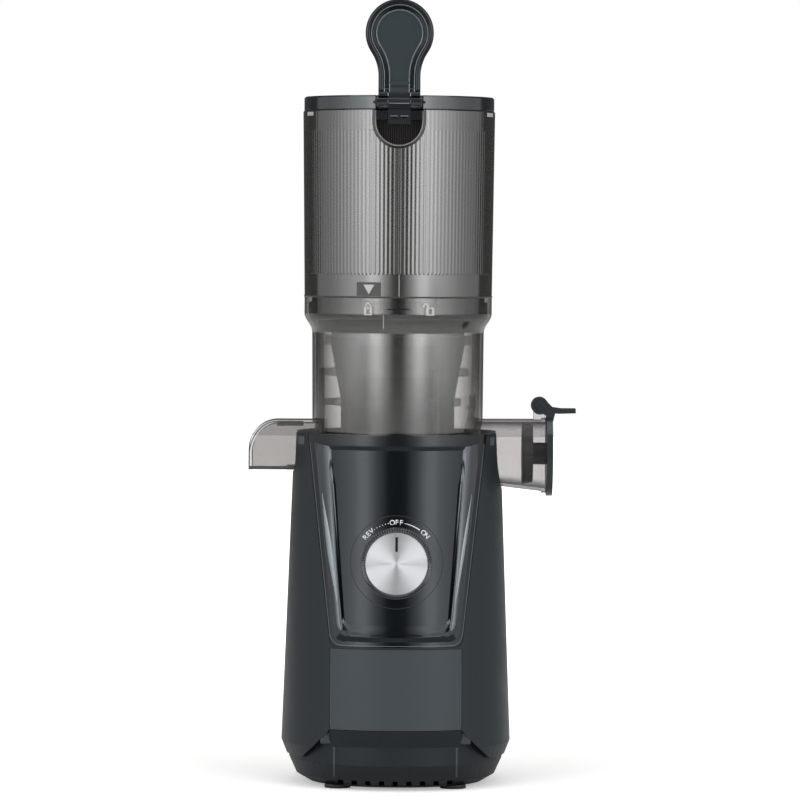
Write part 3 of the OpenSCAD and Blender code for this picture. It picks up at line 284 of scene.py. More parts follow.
# %% Plastic finishes
# name, colour, grain mm, grain depth mm, edge radius mm, roughness, shine, the nodes that wear it
PLASTICS = [
    ("satin_abs_anthracite", "#23282b", 0.9, 0.010, 1.2, 0.40, 0.20, ["housing_shell"]),
    ("piano_black_abs", "#0b0f12", 9.0, 0.004, 1.0, 0.09, 0.30, ["front_panel"]),
    ("satin_abs_slate", "#3b4144", 0.7, 0.008, 0.8, 0.46, 0.20, ["front_plate"]),
    ("gloss_abs_black", "#121517", 9.0, 0.004, 0.5, 0.16, 0.30, ["top_deck", "bowl_well"]),
    ("satin_abs_graphite", "#1c2023", 0.8, 0.008, 1.0, 0.42, 0.20, ["bottom_cover"]),
    ("gloss_abs_lid", "#181c1e", 9.0, 0.004, 0.8, 0.14, 0.75, ["lid"]),
    ("gloss_abs_hinge", "#14181a", 9.0, 0.004, 0.4, 0.20, 0.35, ["hinge_bracket"]),
    ("gloss_abs_stopper", "#24282a", 9.0, 0.004, 0.6, 0.22, 0.40, ["stopper_lever"]),
    ("glass_filled_nylon", "#2a2c2e", 0.8, 0.015, 0.6, 0.55, 0.50, ["gearbox"]),
    ("moulded_switch_nylon", "#d8d5cc", 0.6, 0.006, 0.4, 0.50, 0.50, ["rotary_switch"]),
    ("moulded_black_phenolic", "#1f2224", 0.6, 0.006, 0.4, 0.45, 0.50,
     ["board_parts", "safety_switch"]),
    ("white_acetal", "#e4e1da", 0.8, 0.004, 0.3, 0.40, 0.50, ["idler_gear"]),
    ("dark_moulded_resin", "#2b2d2f", 5.0, 0.006, 0.6, 0.30, 0.40, ["auger"]),
    ("grey_moulded_resin", "#4c4b49", 5.0, 0.006, 0.5, 0.40, 0.30, ["strainer", "cage_gear"]),
]
ROUND_PLANS = {"satin_abs_anthracite": BASE_FORM, "piano_black_abs": BASE_FORM,
               "satin_abs_slate": BASE_FORM, "satin_abs_graphite": FOOT_FORM}
COOL = (0.88, 0.95, 1.0, 1.0)    # the faint blue of the black plastics' reflections
finishes = {}
for name, colour, grain_mm, depth_mm, edge_mm, rough, shine, worn_by in PLASTICS:
    finish, tree, shader = start_finish(name, IOR=1.52, Specular_IOR_Level=shine,
                                        Specular_Tint=COOL)
    mould(tree, shader, colour, grain_mm, depth_mm, edge_mm, rough, form=ROUND_PLANS.get(name))
    finishes[name] = finish
    dress(finish, *worn_by)

# %% Lever finish
# the paddle is satin slate, and the tongue below the lid's top is nearly black
TONGUE_TOP = 479.0
finish, tree, shader = start_finish("satin_abs_lever", IOR=1.52, Specular_IOR_Level=0.35,
                                    Specular_Tint=COOL)
place, _, tone = mould(tree, shader, "#2c3336", 1.2, 0.004, 0.6, 0.30, patch=0.005, mottle=0.03)
height = add(tree, "SeparateXYZ", {"Vector": place}).outputs["Z"]
tongue = add(tree, "Math", (height, TONGUE_TOP * MM), operation="LESS_THAN")
two_tone = add(tree, "Mix", {"Factor": tongue, "A": tone, "B": srgb("#15181a")}, data_type="RGBA")
tree.links.new(two_tone.outputs["Result"], shader.inputs["Base Color"])
finishes["lever"] = finish
dress(finish, "latch_lever")

# %% [markdown]
# ## Rubber and silicone
# Rubber scatters light in its matt skin, so it is rough and has a little sheen. Food silicone is
# smoother and slightly waxy.

# %% Rubber finishes
# name, colour, grain mm, roughness, the nodes that wear it
RUBBERS = [
    ("matt_moulded_rubber", "#1c1d1e", 0.7, 0.72,
     ["rubber_feet", "motor_dampers", "shaft_seal", "cord_inlet"]),
    ("dark_food_silicone", "#2b292a", 3.0, 0.42,
     ["plug_seal", "hopper_seal", "lid_seal", "bowl_seal"]),
    ("grey_food_silicone", "#454341", 3.0, 0.45, ["wiper_blades"]),
]
for name, colour, grain_mm, rough, worn_by in RUBBERS:
    finish, tree, shader = start_finish(name, IOR=1.45, Sheen_Weight=0.15, Sheen_Roughness=0.5)
    mould(tree, shader, colour, grain_mm, 0.012, 0.5, rough)
    finishes[name] = finish
    dress(finish, *worn_by)

# %% [markdown]
# ## Metal
# Pins, screws and the shaft are ground steel. A grinding wheel leaves fine scratches round the
# part, so a noise that is stretched along one axis drives both the roughness and a slight bump.
# The motor's can is drawn sheet steel.

# %% Metal finishes
SCRATCHES = 900.0    # to the metre; real scratches are finer, and wouldn't show
# name, colour, roughness, stretch of the scratches, the nodes that wear it
METALS = [
    ("ground_steel", "#c4c6c8", 0.24, (1, 1, 14),
     ["case_screws", "gearbox_screws", "shaft_bearing", "switch_nut", "drive_shaft", "switch_shaft",
      "idler_pin", "stopper_pin", "lid_hinge_pin", "lever_pin", "auger_bush"]),
    ("spring_steel", "#a6a8aa", 0.3, (1, 14, 1), ["latch_spring"]),
    ("drawn_steel_can", "#8a8d90", 0.36, (1, 1, 10), ["motor"]),
]
for name, colour, rough, stretch, worn_by in METALS:
    finish, tree, shader = start_finish(name, Metallic=1.0)
    place = add(tree, "TexCoord").outputs["Object"]
    along = add(tree, "Mapping", {"Vector": place, "Scale": stretch})
    scratch = add(tree, "TexNoise", {"Vector": along, "Scale": SCRATCHES, "Detail": 3.0})
    edge = add(tree, "Bevel", {"Radius": 0.3 * MM}, samples=4)
    bump = add(tree, "Bump", {"Height": scratch.outputs["Fac"], "Distance": 0.01 * MM,
                              "Normal": edge})
    gloss = add(tree, "MapRange", {"Value": scratch.outputs["Fac"], "To Min": rough - 0.1,
                                   "To Max": rough + 0.12})
    tone = add(tree, "Mix", {"Factor": scratch.outputs["Fac"], "A": srgb(colour),
                             "B": srgb("#e8e9ea")}, data_type="RGBA")
    tree.links.new(bump.outputs["Normal"], shader.inputs["Normal"])
    tree.links.new(gloss.outputs["Result"], shader.inputs["Roughness"])
    tree.links.new(tone.outputs["Result"], shader.inputs["Base Color"])
    dress(finish, *worn_by)

# %% [markdown]
# ## Circuit board
# The board is green glass epoxy with paler copper tracks under its lacquer. It is hidden in the
# base, so a Brick texture, whose mortar stands for the tracks, is enough.

# %% Board finish
TRACKS = 120.0    # scale of the pattern, with tracks a few mm apart
finish, tree, shader = start_finish("glass_epoxy_board", IOR=1.52)
place = mould(tree, shader, "#2f6b4a", 0.6, 0.01, 0.2, 0.4)[0]
tracks = add(tree, "TexBrick", {"Vector": place, "Scale": TRACKS, "Color1": srgb("#2f6b4a"),
                                "Color2": srgb("#27593e"), "Mortar": srgb("#6f8f5a")})
tree.links.new(tracks.outputs["Color"], shader.inputs["Base Color"])
dress(finish, "control_board")

# %% [markdown]
# ## The knob
# The knob's face is aluminium turned on a lathe. The tool leaves fine rings, so light from left
# and right spreads into two bright lobes. That is anisotropy: the shader's highlight is stretched
# across the rings, with a tangent that runs round the knob's axis.

# %% Spun aluminium
WAVES = 3.2             # a Wave texture at scale 1 has about so many waves to the metre
TURNING_MM = 0.6        # spacing of the rings; real ones are finer, and wouldn't show
low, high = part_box("knob_face")
knob_centre = (low + high) / 2
finish, tree, shader = start_finish("spun_aluminium", Metallic=1.0, Anisotropic=0.95,
                                    Anisotropic_Rotation=0.25)
place = add(tree, "TexCoord").outputs["Object"]
centred = add(tree, "Mapping", {"Vector": place, "Location": tuple(-knob_centre)})
rings = add(tree, "TexWave", {"Vector": centred, "Scale": 1 / (TURNING_MM * MM) / WAVES,
                              "Distortion": 0.6, "Detail": 2.0},
            wave_type="RINGS", rings_direction="Y")
tangent = add(tree, "Tangent", direction_type="RADIAL", axis="Y")
bump = add(tree, "Bump", {"Height": rings.outputs["Fac"], "Distance": 0.004 * MM, "Strength": 0.5})
gloss = add(tree, "MapRange", {"Value": rings.outputs["Fac"], "To Min": 0.22, "To Max": 0.36})
tone = add(tree, "Mix", {"Factor": rings.outputs["Fac"], "A": srgb("#c4c7ca"),
                         "B": srgb("#dcdee0")}, data_type="RGBA")
tree.links.new(tangent.outputs["Tangent"], shader.inputs["Tangent"])
tree.links.new(bump.outputs["Normal"], shader.inputs["Normal"])
tree.links.new(gloss.outputs["Result"], shader.inputs["Roughness"])
tree.links.new(tone.outputs["Result"], shader.inputs["Base Color"])
dress(finish, "knob_face")

# %% Knob bezel
# its knurl is drawn as pale and dark ticks round the knob's axis: painted highlight and shade of
# its ridges
KNURLS = 84.0
finish, tree, shader = start_finish("knurled_gloss_abs", IOR=1.52, Coat_Weight=0.6,
                                    Coat_Roughness=0.08)
place = mould(tree, shader, "#202325", 1.0, 0.004, 0.25, 0.24)[0]
x, y, z = add(tree, "SeparateXYZ", {"Vector": place}).outputs
rise = add(tree, "Math", (z, knob_centre.z), operation="SUBTRACT")
turn = add(tree, "Math", (rise, x), operation="ARCTAN2")
phase = add(tree, "Math", (turn, KNURLS), operation="MULTIPLY")
wave = add(tree, "Math", (phase,), operation="SINE")
ticks = add(tree, "Math", (wave, 0.5, 0.5), operation="MULTIPLY_ADD")
knurl = add(tree, "Mix", {"Factor": ticks, "A": srgb("#0e1011"), "B": srgb("#4b5154")},
            data_type="RGBA")
tree.links.new(knurl.outputs["Result"], shader.inputs["Base Color"])
dress(finish, "knob_body")

# %% [markdown]
# ## Smoky clear plastic
# The bowl, the spouts and the hopper are moulded from a clear copolyester with a grey tint. A
# thin wall lets much of the light through, and a wall that is seen edge-on looks nearly solid,
# because the light passes through more of it. So a clear film and a solid body are mixed by Layer
# Weight's facing. A mirror lies over both, with Schlick's formula for its share, so that the
# reflections keep their strength where the plastic is clear. Full refraction would be dearer and
# would hide the parts inside behind noise.

# %% Helper for smoky plastic
def smoke(name, colour, film, clear, solid, rough, mirror, fade=None):
    """A clear film and a body colour, mixed by how steeply the wall is seen, under a mirror.

    clear and solid are the body's shares face-on and edge-on. fade weakens the mirror between
    two heights in mm, down to a share."""
    finish, tree, shader = start_finish(name, Specular_IOR_Level=0.0)
    place, bump, _ = mould(tree, shader, colour, 12.0, 0.003, 0.6, 0.5, mottle=0.04)
    facing = add(tree, "LayerWeight", {"Blend": 0.5}).outputs["Facing"]
    cover = add(tree, "MapRange", {"Value": facing, "From Min": 0.3, "From Max": 1.0,
                                   "To Min": clear, "To Max": solid})
    window = add(tree, "BsdfTransparent", {"Color": srgb(film)})
    wall = add(tree, "MixShader", (cover, window, shader))
    grazing = add(tree, "Math", (facing, 5.0), operation="POWER")
    share = add(tree, "Math", (grazing, 1 - mirror, mirror), operation="MULTIPLY_ADD")
    if fade:
        height = add(tree, "SeparateXYZ", {"Vector": place}).outputs["Z"]
        weaker = add(tree, "MapRange", {"Value": height, "From Min": fade[0] * MM,
                                        "From Max": fade[1] * MM, "To Min": 1.0, "To Max": fade[2]})
        share = add(tree, "Math", (share, weaker), operation="MULTIPLY")
    gloss = add(tree, "BsdfAnisotropic", {"Roughness": rough, "Normal": bump})
    surface = add(tree, "MixShader", (share, wall, gloss))
    tree.links.new(surface.outputs["Shader"], tree.nodes["Material Output"].inputs["Surface"])
    return finish, tree, shader, place, bump, gloss


# %% Smoky finishes
# name, body, film, shares of the body face-on and edge-on, mirror's roughness and strength, where
# the mirror fades, the node that wears it
SMOKY = [
    ("smoky_copolyester_bowl", "#3a3938", "#f1f0ef", 0.05, 0.85, 0.10, 0.115, (316, 324, 0.65),
     "bowl"),
    ("smoky_copolyester_spout", "#6d6a6a", "#eae9e9", 0.06, 0.85, 0.12, 0.012, None, "juice_spout"),
    ("smoky_copolyester_chute", "#8f8e8d", "#ebeae9", 0.16, 0.9, 0.20, 0.02, None, "pulp_chute"),
    ("smoky_copolyester_cage", "#454341", "#e9e8e6", 0.12, 0.55, 0.20, 0.02, None, "brush_cage"),
    ("smoky_copolyester_floor", "#4a4947", "#b5b3b1", 0.4, 0.95, 0.2, 0.05, None, "hopper_floor"),
    ("smoky_copolyester_skirt", "#2c2b2a", "#8f8d8b", 0.5, 0.95, 0.14, 0.015, None, "hopper_skirt"),
    ("smoky_copolyester_flutes", "#4a4846", "#a09e9c", 0.4, 0.9, 0.24, 0.05, None, "fluted_wall"),
]
for name, colour, film, clear, solid, rough, mirror, fade, worn_by in SMOKY:
    dress(smoke(name, colour, film, clear, solid, rough, mirror, fade=fade)[0], worn_by)

# %% [markdown]
# ## The fluted hopper
# The hopper is darker than the bowl. Its fine upright ribs are solids of the CAD model on the
# inside of the clear wall. Seen through it they bend the reflections into thin bright and dark
# lines, which a bump stands for. It has as many waves as the hopper has ribs. It starts where they
# start and is weaker near their tops.

# %% Hopper finish
RIBS, RIBS_LOW, RIBS_HIGH = 144.0, 355.5, 463.5    # their number, and the heights of their ends
SOFT_END, TOP_GAP, TOP_SHARE = 1.0, 9.0, 0.4       # the last 9 mm keep 0.4 of the waves' height
finish, tree, shader, place, bump, gloss = smoke(
    "smoky_copolyester_hopper", "#2d2c2b", "#8a8886", 0.66, 0.98, 0.12, 0.15)
x, y, z = add(tree, "SeparateXYZ", {"Vector": place}).outputs
turn = add(tree, "Math", (y, x), operation="ARCTAN2")
phase = add(tree, "Math", (turn, RIBS), operation="MULTIPLY")
wave = add(tree, "Math", (phase,), operation="SINE")
low = add(tree, "MapRange", {"Value": z, "From Min": (RIBS_LOW - SOFT_END / 2) * MM,
                             "From Max": (RIBS_LOW + SOFT_END / 2) * MM})
high = add(tree, "MapRange", {"Value": z, "From Min": (RIBS_HIGH - TOP_GAP - SOFT_END / 2) * MM,
                              "From Max": (RIBS_HIGH - TOP_GAP + SOFT_END / 2) * MM,
                              "To Min": 1.0, "To Max": TOP_SHARE})
started = add(tree, "Math", (wave, low), operation="MULTIPLY")
height = add(tree, "Math", (started, high), operation="MULTIPLY")
flutes = add(tree, "Bump", {"Height": height, "Distance": 0.05 * MM, "Normal": bump})
for user in (gloss, shader):
    tree.links.new(flutes.outputs["Normal"], user.inputs["Normal"])
dress(finish, "hopper")

# %% Recess finish
# fine upright ribs give the finger more grip; their pale and dark streaks are painted light and
# shade, and the recess's very dark body is painted shade
GRIP_MM = 1.5
finish, tree, shader, place, bump, gloss = smoke(
    "smoky_copolyester_recess_painted_shade", "#161514", "#5a5958", 0.85, 0.98, 0.16, 0.03)
ribs = add(tree, "TexWave", {"Vector": place, "Scale": 1 / (GRIP_MM * MM) / WAVES,
                             "Distortion": 0.3}, wave_type="BANDS", bands_direction="X")
rib_light_and_shade = add(tree, "Mix", {"Factor": ribs.outputs["Fac"], "A": srgb("#0f0e0e"),
                            "B": srgb("#3b3938")}, data_type="RGBA")
tree.links.new(rib_light_and_shade.outputs["Result"], shader.inputs["Base Color"])
dress(finish, "finger_recess")

# %% [markdown]
# ## Printed marks
# The marks round the knob are pad-printed. An image of the print could be laid on the panel, but
# real faces stay sharp at any distance. Each letter comes from the built-in font and is turned into
# a mesh. Then every point moves straight back until it meets the panel, so that the print lies on
# the panel's slight curve.

# %% Helpers for pieces
def keep(bm, name, body, finish, thick=0.0):
    """Makes a bmesh a piece that rides on a body. A thin print gets its thickness from Solidify."""
    mesh = bpy.data.meshes.new(name)
    bmesh.ops.recalc_face_normals(bm, faces=bm.faces[:])
    bm.to_mesh(mesh)
    bm.free()
    mesh.materials.append(finish)
    piece = bpy.data.objects.new(name, mesh)
    bpy.context.scene.collection.objects.link(piece)
    if thick:
        wall = piece.modifiers.new("thickness", "SOLIDIFY")
        wall.thickness, wall.offset = thick * MM, 0
    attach(piece, body)
    print(name, "with", len(mesh.polygons), "faces on", body)
    return piece


# %% Helper for the finish of a small piece
def small_finish(name, colour, grain_mm, depth_mm, edge_mm, rough, **sockets):
    """A moulded finish for pieces that scene.py adds."""
    finish, tree, shader = start_finish(name, **sockets)
    mould(tree, shader, colour, grain_mm, depth_mm, edge_mm, rough)
    return finish


# %% Helpers that lay a flat piece on a surface
def skin_of(*names):
    """What a ray meets: the meshes of CAD nodes or pieces as they are."""
    joined = bmesh.new()
    for item in names:
        joined.from_mesh((nodes[item] if item in nodes else item).data)
    tree = BVHTree.FromBMesh(joined)
    joined.free()
    return tree


FAR_FRONT_Y = -0.4    # metres; every ray starts here, clear of the machine
FRONT_Y = -68 * MM    # about where the fronts of the hopper, the lever and the panel are


def drape(bm, skin, lift_mm, to_edge=False):
    """Moves every point along +Y to just in front of the skin. A point's own y adds to its lift.

    With to_edge, a point that misses the skin at its very edge goes to the skin's nearest point."""
    for v in bm.verts:
        hit = skin.ray_cast(Vector((v.co.x, FAR_FRONT_Y, v.co.z)), Vector((0, 1, 0)))[0]
        if not hit and to_edge:
            hit = skin.find_nearest(Vector((v.co.x, FRONT_Y, v.co.z)))[0]
        if hit:
            v.co.y = hit.y - lift_mm * MM - v.co.y


# %% Helper for letters
UPRIGHT = Matrix.Rotation(math.radians(90), 4, "X")    # turns a flat shape to face the front
CAPITAL = 0.73                                         # a capital's height over the font's size
BOLDER = 0.09 * MM                                     # how far each letter's outline moves out


def letter_into(bm, text, height, place):
    """Adds a word as flat faces, turned and moved by a matrix. Letters stand in the XZ plane."""
    font = bpy.data.curves.new("letter", "FONT")
    font.body, font.align_x, font.align_y = text, "CENTER", "CENTER"
    font.size, font.offset = height / CAPITAL, BOLDER
    carrier = bpy.data.objects.new("letter", font)
    bpy.context.scene.collection.objects.link(carrier)
    bpy.context.view_layer.update()
    mesh = bpy.data.meshes.new_from_object(carrier)
    mesh.transform(place @ UPRIGHT)
    bm.from_mesh(mesh)
    bpy.data.objects.remove(carrier)


# %% Marks round the knob
ink = small_finish("pad_printed_ink", "#eef0f1", 0.4, 0.004, 0.05, 0.45, IOR=1.5)
panel_skin = skin_of("front_panel")
KNOB = Vector((0, 0, knob_centre.z))
MARK_R = 27.2 * MM
LETTER_H, LETTER_STEP = 3.5 * MM, 6.4               # the step in degrees
WORDS = (("REV", -45.5), ("OFF", 0), ("ON", 45.5))  # each with the degrees of its middle
DOTS, DOT_R = (-34.5, -30, -25.5, -21, -16.5, -12.5), 0.34 * MM
SWEEP, SWEEP_WIDTH, STEPS = (11.5, 35.5), (0.35, 0.85), 14    # degrees, mm and faces of the arc


def on_dial(degrees, radius=MARK_R):
    """A place on the dial, turned so that a letter's head points away from the knob."""
    return (Matrix.Translation(KNOB) @ Matrix.Rotation(math.radians(degrees), 4, "Y")
            @ Matrix.Translation((0, 0, radius)))


marks = bmesh.new()
for word, middle in WORDS:
    for i, letter in enumerate(word):
        place = on_dial(middle + (i - (len(word) - 1) / 2) * LETTER_STEP)
        letter_into(marks, letter, LETTER_H, place)
for degrees in DOTS:
    bmesh.ops.create_circle(marks, segments=12, radius=DOT_R, cap_ends=True,
                            matrix=on_dial(degrees) @ UPRIGHT)
previous = None
for i in range(STEPS + 1):
    degrees = SWEEP[0] + (SWEEP[1] - SWEEP[0]) * i / STEPS
    width = SWEEP_WIDTH[0] + (SWEEP_WIDTH[1] - SWEEP_WIDTH[0]) * i / STEPS
    pair = [marks.verts.new(on_dial(degrees, MARK_R + s * width / 2 * MM).translation)
            for s in (-1, 1)]
    if previous:
        marks.faces.new((previous[0], pair[0], pair[1], previous[1]))
    previous = pair
drape(marks, panel_skin, 0.22)
keep(marks, "dial_print", "base", ink, thick=0.1)

# %% [markdown]
# ## The lock marks
# A darker tab with a pale arrow on the hopper points at a closed or an open padlock on the bowl's
# collar. They show which way the hopper twists. Each padlock is an arch over the outline of a
# body: the arch is a short edge spun round its centre, and its legs are extruded down.

# %% Helpers for flat marks
def panel_into(bm, x, z, width, height, cuts=1):
    """A flat rectangle that faces the front, centred on x and z in mm."""
    corners = bmesh.ops.create_grid(bm, x_segments=cuts, y_segments=1, size=0.5)["verts"]
    size = Matrix.Diagonal((width * MM, height * MM, 1, 1))
    place = Matrix.Translation((x * MM, 0, z * MM))
    bmesh.ops.transform(bm, matrix=place @ UPRIGHT @ size, verts=corners)


def arch_into(bm, x, z, radius, stroke, legs):
    """Half a ring with two legs of their own lengths in mm."""
    ends = [bm.verts.new(Vector(((x + r) * MM, 0, z * MM)))
            for r in (radius - stroke / 2, radius + stroke / 2)]
    start = bm.edges.new(ends)
    spun = bmesh.ops.spin(bm, geom=[start], cent=(x * MM, 0, z * MM), axis=(0, 1, 0),
                          dvec=(0, 0, 0), angle=math.radians(-180), steps=10, use_merge=False,
                          use_duplicate=False)
    last = [item for item in spun["geom_last"] if isinstance(item, bmesh.types.BMEdge)][0]
    for edge, length in ((start, legs[1]), (last, legs[0])):
        if length:
            grown = bmesh.ops.extrude_edge_only(bm, edges=[edge])["geom"]
            low = [item for item in grown if isinstance(item, bmesh.types.BMVert)]
            bmesh.ops.translate(bm, vec=(0, 0, -length * MM), verts=low)


# %% Padlocks
worn_ink = small_finish("worn_pad_printed_ink", "#b9b7b5", 0.4, 0.004, 0.05, 0.5, IOR=1.5)
collar_skin = skin_of("bowl")
LOCKS = ((-20.7, 0.0, (1.2, 1.2)), (22.1, -3.0, (0.6, 1.2)))    # place, swing and legs of the arch
locks = bmesh.new()
for x, swing, legs in LOCKS:
    arch_into(locks, x + swing, 333.9, 1.45, 0.75, legs)
    for side in (-1, 1):
        panel_into(locks, x + side * 2.0, 329.9, 1.5, 5.4)
    panel_into(locks, x, 332.2, 2.5, 0.8)
    panel_into(locks, x, 327.6, 2.5, 0.8)
drape(locks, collar_skin, 0.06)
keep(locks, "lock_marks", "bowl", worn_ink, thick=0.08)

# %% Painted shadow: a dark dash on the collar, between the padlocks
SHADOW_DASH_AT = Matrix.Translation((0.3 * MM, -65.3 * MM, 331.3 * MM))
SHADOW_DASH_SIZE = Matrix.Diagonal((16.5 * MM, 0.5 * MM, 1.1 * MM, 1))
dash = bmesh.new()
bmesh.ops.create_uvsphere(dash, u_segments=32, v_segments=16, radius=0.5)
bmesh.ops.transform(dash, matrix=SHADOW_DASH_AT @ SHADOW_DASH_SIZE, verts=dash.verts[:])
keep(dash, "collar_shadow_dash", "bowl", finishes["gloss_abs_black"])

# %% Twist tab and its arrow
hopper_skin = skin_of("hopper")
tab_finish = small_finish("moulded_tab_copolyester", "#555352", 0.6, 0.004, 0.2, 0.5, IOR=1.5,
                          Specular_IOR_Level=0.15)
TAB = (-20.2, 345.1, 16.5, 9.6)
ARROW = ((-23.9, 348.2), (-16.5, 348.2), (-20.2, 341.6))
tab = bmesh.new()
panel_into(tab, *TAB, cuts=8)
drape(tab, hopper_skin, 0.2)
keep(tab, "twist_tab", "hopper", tab_finish, thick=0.3)
arrow = bmesh.new()
arrow.faces.new([arrow.verts.new(Vector((x * MM, 0, z * MM))) for x, z in ARROW])
bmesh.ops.subdivide_edges(arrow, edges=arrow.edges[:], cuts=3, use_grid_fill=True)
drape(arrow, hopper_skin, 0.4)
keep(arrow, "twist_arrow", "hopper", worn_ink, thick=0.08)

# %% [markdown]
# ## Swept strips and beads
# Long thin features follow a line: a rounded ridge round the dished panel, beads on the lever's
# paddle, a rounded rim round the finger recess. A strip is made of lines of points side by side,
# and a tube of rings round one line. A bevelled curve could make them too, but a strip can swell
# and lie on a curved surface.

# %% Helpers for strips
def smooth(piece):
    """Shades a piece as a curved surface."""
    piece.data.polygons.foreach_set("use_smooth", [True] * len(piece.data.polygons))
    return piece


def strip_into(bm, lines):
    """Joins lines of points, side by side, into a strip of faces."""
    rows = [[bm.verts.new(point) for point in line] for line in lines]
    for a, b in zip(rows, rows[1:]):
        for i in range(len(a) - 1):
            bm.faces.new((a[i], a[i + 1], b[i + 1], b[i]))


def blend_lines(first, last, count, swell_mm):
    """Lines from the first to the last; a point's y is how far it swells off what it lies on."""
    lines = []
    for k in range(count + 1):
        t = k / count
        swell = swell_mm * math.sin(math.pi * t) ** 1.3
        points = [a.lerp(b, t) for a, b in zip(first, last)]
        lines.append([(point.x * MM, swell * MM, point.z * MM) for point in points])
    return lines


# %% [markdown]
# ## The ridge round the dish
# The glossy panel is dished round the plate, and a rounded ridge frames the dish like a cup that is
# open at the top. It is part of the panel's moulding. The CAD's panel stays as it is, so the ridge
# is a thin strip that swells off it. Its two sides are polished more and catch the diffusers, so
# they are a piece of their own, apart from its foot.

# %% Helper for the cup shape
SIDE_STEPS, CORNER_STEPS, FOOT_STEPS = 14, 8, 6    # of one side, one corner and half the foot


def cup_line(top_half, low_half, top_z, low_z, corner):
    """From the upper left down, round two corners and up to the upper right, in mm."""
    lean = math.atan((top_half - low_half) / (top_z - low_z))
    turn = math.pi / 2 - lean
    cut_off = corner * math.tan(turn / 2)
    start = Vector((-low_half - math.sin(lean) * cut_off, 0, low_z + math.cos(lean) * cut_off))
    centre = Vector((-low_half + cut_off, 0, low_z + corner))
    rim, foot = Vector((-top_half, 0, top_z)), Vector((0, 0, low_z))
    half = [rim.lerp(start, i / SIDE_STEPS) for i in range(SIDE_STEPS)]
    for i in range(CORNER_STEPS + 1):
        angle = math.pi + lean + turn * i / CORNER_STEPS
        half.append(centre + corner * Vector((math.cos(angle), 0, math.sin(angle))))
    half += [half[-1].lerp(foot, i / FOOT_STEPS) for i in range(1, FOOT_STEPS)]
    return half + [foot] + [Vector((-v.x, 0, v.z)) for v in reversed(half)]


# %% Ridge
SIDE = 19    # so many points of each line run down one side, half of its corner included
RIDGE_STEPS, RIDGE_SWELL = 12, 1.35
ridge_outer = cup_line(57.0, 43.2, 239.0, 103.2, 8.5)
ridge_inner = cup_line(45.6, 36.4, 236.5, 114.5, 7.0)
ridge, ridge_foot = bmesh.new(), bmesh.new()
for grown, part in ((ridge, slice(0, SIDE)), (ridge, slice(-SIDE, None)),
                    (ridge_foot, slice(SIDE - 1, 1 - SIDE))):
    lines = blend_lines(ridge_outer[part], ridge_inner[part], RIDGE_STEPS, RIDGE_SWELL)
    strip_into(grown, lines)
for grown in (ridge, ridge_foot):
    drape(grown, panel_skin, 0.02)
smooth(keep(ridge_foot, "dish_ridge_foot", "base", finishes["piano_black_abs"]))
ridge_finish = small_finish("polished_black_abs_ridge", "#0b0f12", 9.0, 0.003, 0.4, 0.16, IOR=1.52,
                            Specular_IOR_Level=0.85, Specular_Tint=COOL)
dish_ridge = smooth(keep(ridge, "dish_ridge", "base", ridge_finish))

# %% Painted highlight: a pale line outside the ridge, for the light on the panel's edge
pale_highlight_finish = small_finish("satin_grey_painted_highlight", "#4a5358", 0.8, 0.004, 0.1, 0.35, IOR=1.5,
                           Specular_IOR_Level=0.5)
highlight_outer = cup_line(60.4, 45.0, 238.5, 100.4, 8.5)
highlight_inner = cup_line(59.95, 44.6, 238.5, 100.9, 8.1)
trim = bmesh.new()
strip_into(trim, blend_lines(highlight_outer, highlight_inner, 1, 0))
drape(trim, panel_skin, 0.1)
keep(trim, "panel_highlight_line", "base", pale_highlight_finish, thick=0.1)

# %% [markdown]
# ## The panel's brow
# The dish starts under the panel's brow with a soft fillet, and the brow itself is slightly
# crowned. The fillet's points are draped on the panel first. Then each upright line of them is
# eased from its top point to its foot, which covers the step between brow and dish.

# %% Fillet and brow
def flat_rows(xs, heights, lift_mm=0.0):
    """Rows of points for strip_into, one at each height; a point's y is its lift."""
    return [[Vector((x * MM, lift_mm * MM, z * MM)) for x in xs] for z in heights]


fillet_xs = [-44 + 4 * i for i in range(23)]
fillet = bmesh.new()
strip_into(fillet, flat_rows(fillet_xs, [231 - 2 * i for i in range(11)]))
drape(fillet, panel_skin, 0.06)
grid = list(fillet.verts)
for column in range(len(fillet_xs)):
    line = grid[column::len(fillet_xs)]
    top_y, foot_y = line[0].co.y, line[-1].co.y
    for i, v in enumerate(line):
        t = i / (len(line) - 1)
        v.co.y = top_y + (foot_y - top_y) * (3 * t ** 2 - 2 * t ** 3)
smooth(keep(fillet, "dish_fillet", "base", finishes["piano_black_abs"]))
BROW = ((0.0, 244.6), (0.3, 243.6), (0.4, 241), (0.4, 238), (0.3, 235.6), (0.0, 234.4))
brow_xs = [-56 + 4 * i for i in range(29)]
brow = bmesh.new()
strip_into(brow, [row for lift, z in BROW for row in flat_rows(brow_xs, [z], lift)])
drape(brow, panel_skin, 0.06)
smooth(keep(brow, "panel_brow", "base", finishes["gloss_abs_black"]))

# %% [markdown]
# ## The ridge's bright crest, a painted highlight
# The real ridge mirrors an edge of the diffusers as a slim spindle of light down each side. The
# strip's own reflection is softer, so a paler spindle of three lines of points lies on it as a
# painted highlight.

